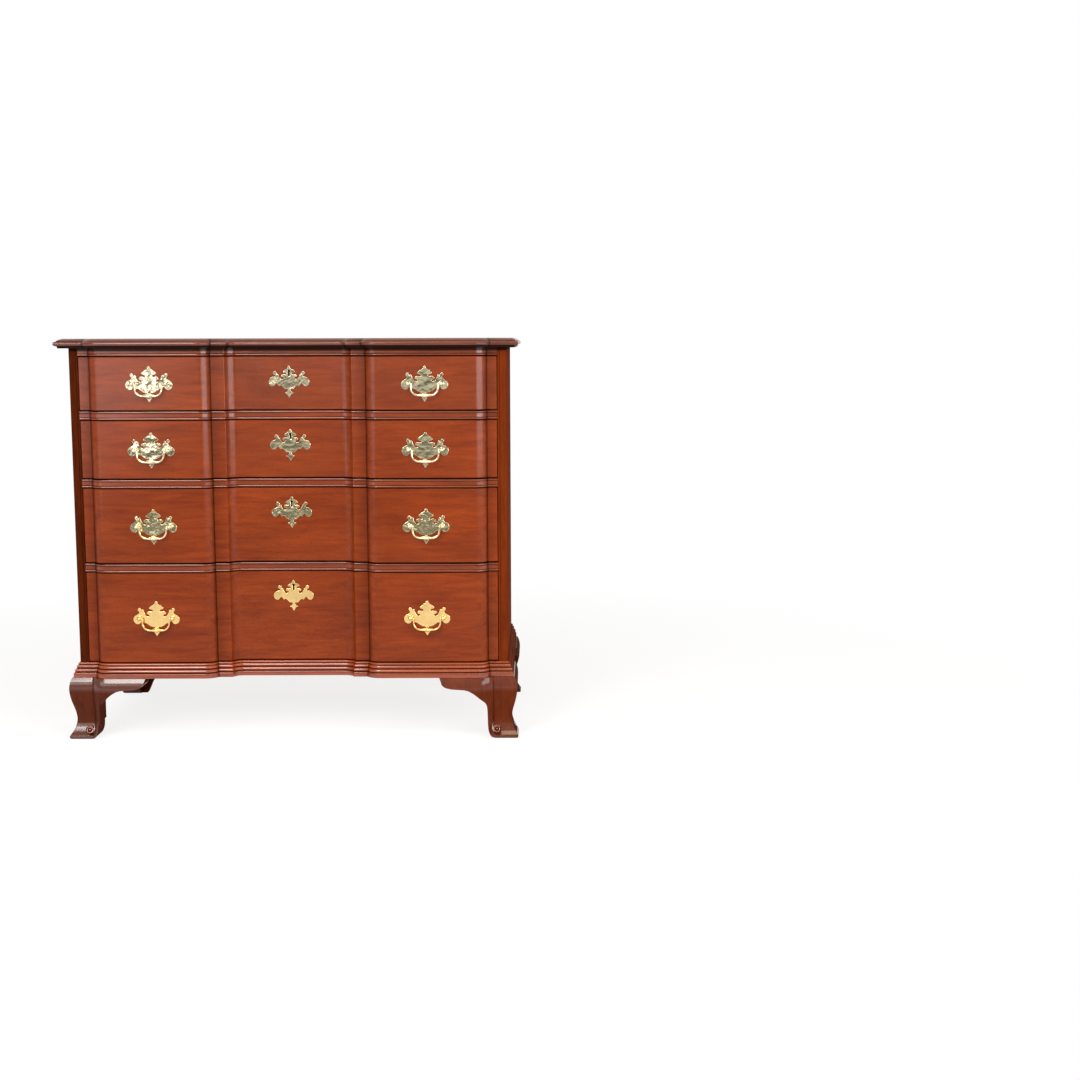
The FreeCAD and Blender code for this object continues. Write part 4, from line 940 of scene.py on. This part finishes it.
# right half of the back plate from its top to its tip, in millimetres from the middle of the posts;
# c marks a corner
plate_half = [
    (0, 36.4), (2.0, 35.7), (3.1, 33.8), (3.0, 31.9, "c"), (5.0, 30.5), (9.0, 27.9), (12.6, 25.3),
    (15.4, 22.5), (15.0, 20.5), (12.8, 19.3), (9.8, 18.4), (7.7, 16.8), (7.7, 15.2), (9.6, 14.2),
    (13.0, 14.9), (16.6, 14.8), (19.6, 13.2), (20.6, 10.8), (19.4, 8.8), (16.8, 8.0), (15.2, 6.6),
    (15.3, 5.0), (17.4, 4.0), (20.5, 5.0), (23.0, 7.6), (25.0, 11.0), (26.2, 14.2), (27.0, 17.2),
    (29.0, 18.7), (30.6, 17.8), (31.2, 15.8, "c"), (32.0, 18.6), (33.4, 21.3), (36.0, 22.1),
    (38.4, 20.8), (39.4, 18.3), (38.4, 15.6), (36.7, 13.5), (36.8, 11.3), (39.3, 8.8), (43.0, 6.8),
    (46.6, 4.0), (48.7, 0.4), (48.9, -4.0), (47.2, -8.6), (43.6, -11.8), (39.4, -12.8),
    (35.6, -11.6), (33.2, -8.8), (31.2, -6.9), (28.8, -7.8), (26.6, -11.2, "c"), (23.4, -10.6),
    (18.9, -13.2), (15.0, -16.0), (10.9, -18.2), (7.6, -19.2), (5.0, -19.4), (3.4, -21.2),
    (3.0, -24.0), (3.4, -26.8), (4.6, -29.0), (6.4, -31.2, "c"), (4.2, -32.2), (2.8, -34.4),
    (1.6, -36.6), (0, -38.6, "c")]
# depth of the dents in the shine of each drawer's brass, how bright its dull patches are and its colour;
# the colours differ from drawer to drawer as painted reflection, and the bottom set is the flattest and
# the warmest
painted_reflection_brass = {1: (0.85, 0.75, (0.97, 0.89, 0.64)), 2: (0.85, 0.75, (0.97, 0.89, 0.62)),
          3: (0.85, 0.80, (0.97, 0.86, 0.54)), 4: (0.04, 0.97, (1.0, 0.68, 0.28))}
# distance out from the plate and radius of a turned post, in millimetres
post_profile = [(0, 4.9), (0.7, 5.0), (1.2, 4.7), (1.5, 3.6), (2.4, 3.0), (3.8, 3.0), (4.6, 3.7),
                (5.6, 4.4), (7.4, 4.7), (9.2, 4.4), (10.6, 3.4), (11.6, 1.9), (12.0, 0.0)]
nut_radius = 0.00635
nut_thickness = 0.004
nut_inset = 0.001
thread_past_nut = 0.0012


def ring_of(form, x, y, z, radius, sides):
    """Corners of a ring about a line that runs from front to back."""
    return [form.verts.new((x + radius * math.cos(math.tau * side / sides), y,
                            z + radius * math.sin(math.tau * side / sides))) for side in range(sides)]


def turned_post(x, z, face_y, nut_y):
    """A post turned on the lathe, its threaded shank and the nut inside the drawer."""
    form = bmesh.new()
    shank = (nut_y - thread_past_nut - face_y) * 1000
    profile = [(-shank, 0.0), (-shank, 2.6), (-0.2, 3.0), (0, 3.0)] + post_profile
    rows = [ring_of(form, x, face_y - out / 1000, z, max(radius, 0.001) / 1000, 20)
            for out, radius in profile]
    nut = [ring_of(form, x, nut_y - depth, z, nut_radius, 6)
           for depth in (nut_inset + nut_thickness, nut_inset)]
    for lower, upper in list(zip(rows, rows[1:])) + [nut]:
        for side in range(len(lower)):
            after = (side + 1) % len(lower)
            form.faces.new((lower[side], lower[after], upper[after], upper[side]))
    form.faces.new(nut[0])
    form.faces.new(nut[1])
    bmesh.ops.recalc_face_normals(form, faces=form.faces)
    mesh = as_mesh("post", form)
    mesh.shade_smooth()
    mesh.set_sharp_from_angle(angle=math.radians(38))
    return mesh


# radius of the swollen grip of a bail at distances from its middle, in millimetres
bail_swell = [(12.0, 2.3), (10.0, 2.5), (8.0, 2.9), (6.0, 3.3), (4.4, 3.6), (3.2, 3.75), (2.6, 4.1),
              (1.8, 4.2), (1.0, 4.0), (0.0, 3.95)]


def bail_line(centre_x, pivot_z, pivot_y):
    """Points and radii of a bail, from one pin round the grip to the other."""
    drop = 25.0
    arm = 28.2
    corner = 15.5
    # each place of one half is x, z and radius in millimetres from the middle between the pins:
    # the pin, its shoulder, the arm, the corner and the swollen grip
    half = [(34.0, 0.0, 1.35), (31.4, 0.0, 1.4), (30.8, 0.0, 1.7)]
    for turn in range(0, 91, 18):
        angle = math.radians(turn)
        half.append((30.2 - 2.0 * math.sin(angle), -2.4 * (1 - math.cos(angle)), 1.8))
    for share in (0.33, 0.66):
        half.append((arm + 0.3 * math.sin(math.pi * share), -2.4 - (drop - 2.4 - corner) * share, 1.85))
    for turn in range(0, 91, 9):
        angle = math.radians(turn)
        half.append((arm - corner * (1 - math.cos(angle)), -(drop - corner) - corner * math.sin(angle),
                     1.85 + 0.35 * turn / 90))
    half += [(x, -drop, radius) for x, radius in bail_swell]
    whole = half + [(-x, z, radius) for x, z, radius in reversed(half[:-1])]
    points = [(centre_x + x / 1000, pivot_y, pivot_z + z / 1000) for x, z, radius in whole]
    return points, [radius / 1000 for x, z, radius in whole]


plate_half_width = 0.049
post_half_spacing = 0.035
bail_pin_y = -0.2301
for drawer in (1, 2, 3, 4):
    body = "drawer_%d" % drawer
    metal = brass("brass_pulls_%d" % drawer, 3.7 * drawer, *painted_reflection_brass[drawer])
    low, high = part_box("pull_plates_%d" % drawer)
    post_low, post_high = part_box("pull_posts_%d" % drawer)
    post_z = (post_low.z + post_high.z) / 2
    plates = []
    posts = []
    for side, name in ((-1, "left"), (1, "right")):
        centre = side * (high.x - plate_half_width)
        plates.append(cast_plate("plate", plate_half, high.y - low.y, (centre, post_z), low.y))
        for end in (-1, 1):
            posts.append(turned_post(centre + end * post_half_spacing, post_z, low.y, post_high.y))
        bail = "bail_%s_%d" % (name, drawer)
        points, radii = bail_line(centre, post_z, bail_pin_y)
        shaped(bail + "_cast", rod(bail + "_cast", points, radii, sides=16), metal, bail, bail)
    node = "pull_plates_%d" % drawer
    shaped(node + "_cast", joined(node + "_cast", plates), metal, body, node)
    node = "pull_posts_%d" % drawer
    shaped(node + "_turned", joined(node + "_turned", posts), metal, body, node)

# Escutcheons and locks -------------------------------------------------------------------------
# A brass plate to match the pulls covers each keyhole.  Behind it a steel lock is let into the back
# of the drawer front, and its bolt rises into the pocket of the rail above.

# right half of the escutcheon, in millimetres from the round of the keyhole
escutcheon_half = [
    (0, 10.6), (1.9, 9.8), (2.8, 7.8), (2.9, 6.0, "c"), (5.4, 4.4), (8.8, 2.4), (11.6, 0.7),
    (12.7, -0.9), (11.9, -2.7), (9.6, -3.6), (6.9, -4.3), (5.6, -5.6), (7.0, -7.0), (9.8, -7.2),
    (12.6, -7.0), (15.2, -7.8), (16.5, -10.3), (15.4, -12.6), (13.0, -12.8), (10.9, -13.6),
    (11.4, -15.8), (13.4, -17.2), (15.9, -17.2), (18.2, -15.6), (20.0, -13.0), (21.6, -10.0),
    (22.2, -7.6), (23.6, -6.4), (25.2, -7.2, "c"), (25.4, -4.0), (27.0, -1.4), (29.8, -0.5),
    (32.4, -1.8), (33.2, -4.6), (31.8, -7.2), (29.2, -8.8), (28.6, -10.4), (31.2, -12.0),
    (35.6, -13.0), (39.6, -15.6), (42.2, -19.6), (42.5, -24.2), (40.8, -28.8), (37.2, -31.8),
    (33.0, -31.8), (29.8, -29.2), (27.4, -26.2), (25.0, -26.6), (23.0, -29.4), (21.0, -32.2, "c"),
    (18.0, -30.2), (14.6, -31.8), (11.4, -35.2), (8.2, -38.0), (5.4, -37.6), (3.4, -38.6),
    (3.0, -41.2), (5.4, -43.8), (9.9, -46.0, "c"), (6.4, -47.6), (4.0, -49.4), (2.6, -52.0),
    (1.4, -54.4), (0, -56.3, "c")]
# near-black steel, partly blackened iron and partly painted shade seen through the keyholes
lock_iron_and_shade = bpy.data.materials.new("lock_steel")
tree = fresh_tree(lock_iron_and_shade)
place = tree.nodes.new("ShaderNodeTexCoord").outputs["Object"]
spots = added(tree, "TexNoise", Vector=place, Scale=140.0, Detail=4.0, Roughness=0.6).outputs[0]
tint = two_tone(tree, spots, 0.35, (0.02, 0.019, 0.018), 0.62, (0.07, 0.066, 0.06))
bump = added(tree, "Bump", Strength=0.1, Distance=0.0004, Height=spots)
skin = added(tree, "BsdfPrincipled", Metallic=1.0, Roughness=ranged(tree, spots, 0.3, 0.7, 0.7, 0.5),
             Normal=bump.outputs[0], **{"Base Color": tint})
added(tree, "OutputMaterial", Surface=skin.outputs[0])

for drawer in (1, 2, 3, 4):
    body = "drawer_%d" % drawer
    node = "escutcheon_%d" % drawer
    low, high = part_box(node)
    metal = brass("brass_" + node, 5.1 * drawer + 1.3, *painted_reflection_brass[drawer])
    middle = (0, high.z - keyhole_drop)
    mesh = cast_plate(node + "_cast", escutcheon_half, high.y - low.y, middle, low.y, holes=[keyhole])
    shaped(node + "_cast", mesh, metal, body, node)
    surfaced("lock_%d" % drawer, lock_iron_and_shade)
    surfaced("lock_bolt_%d" % drawer, lock_iron_and_shade)
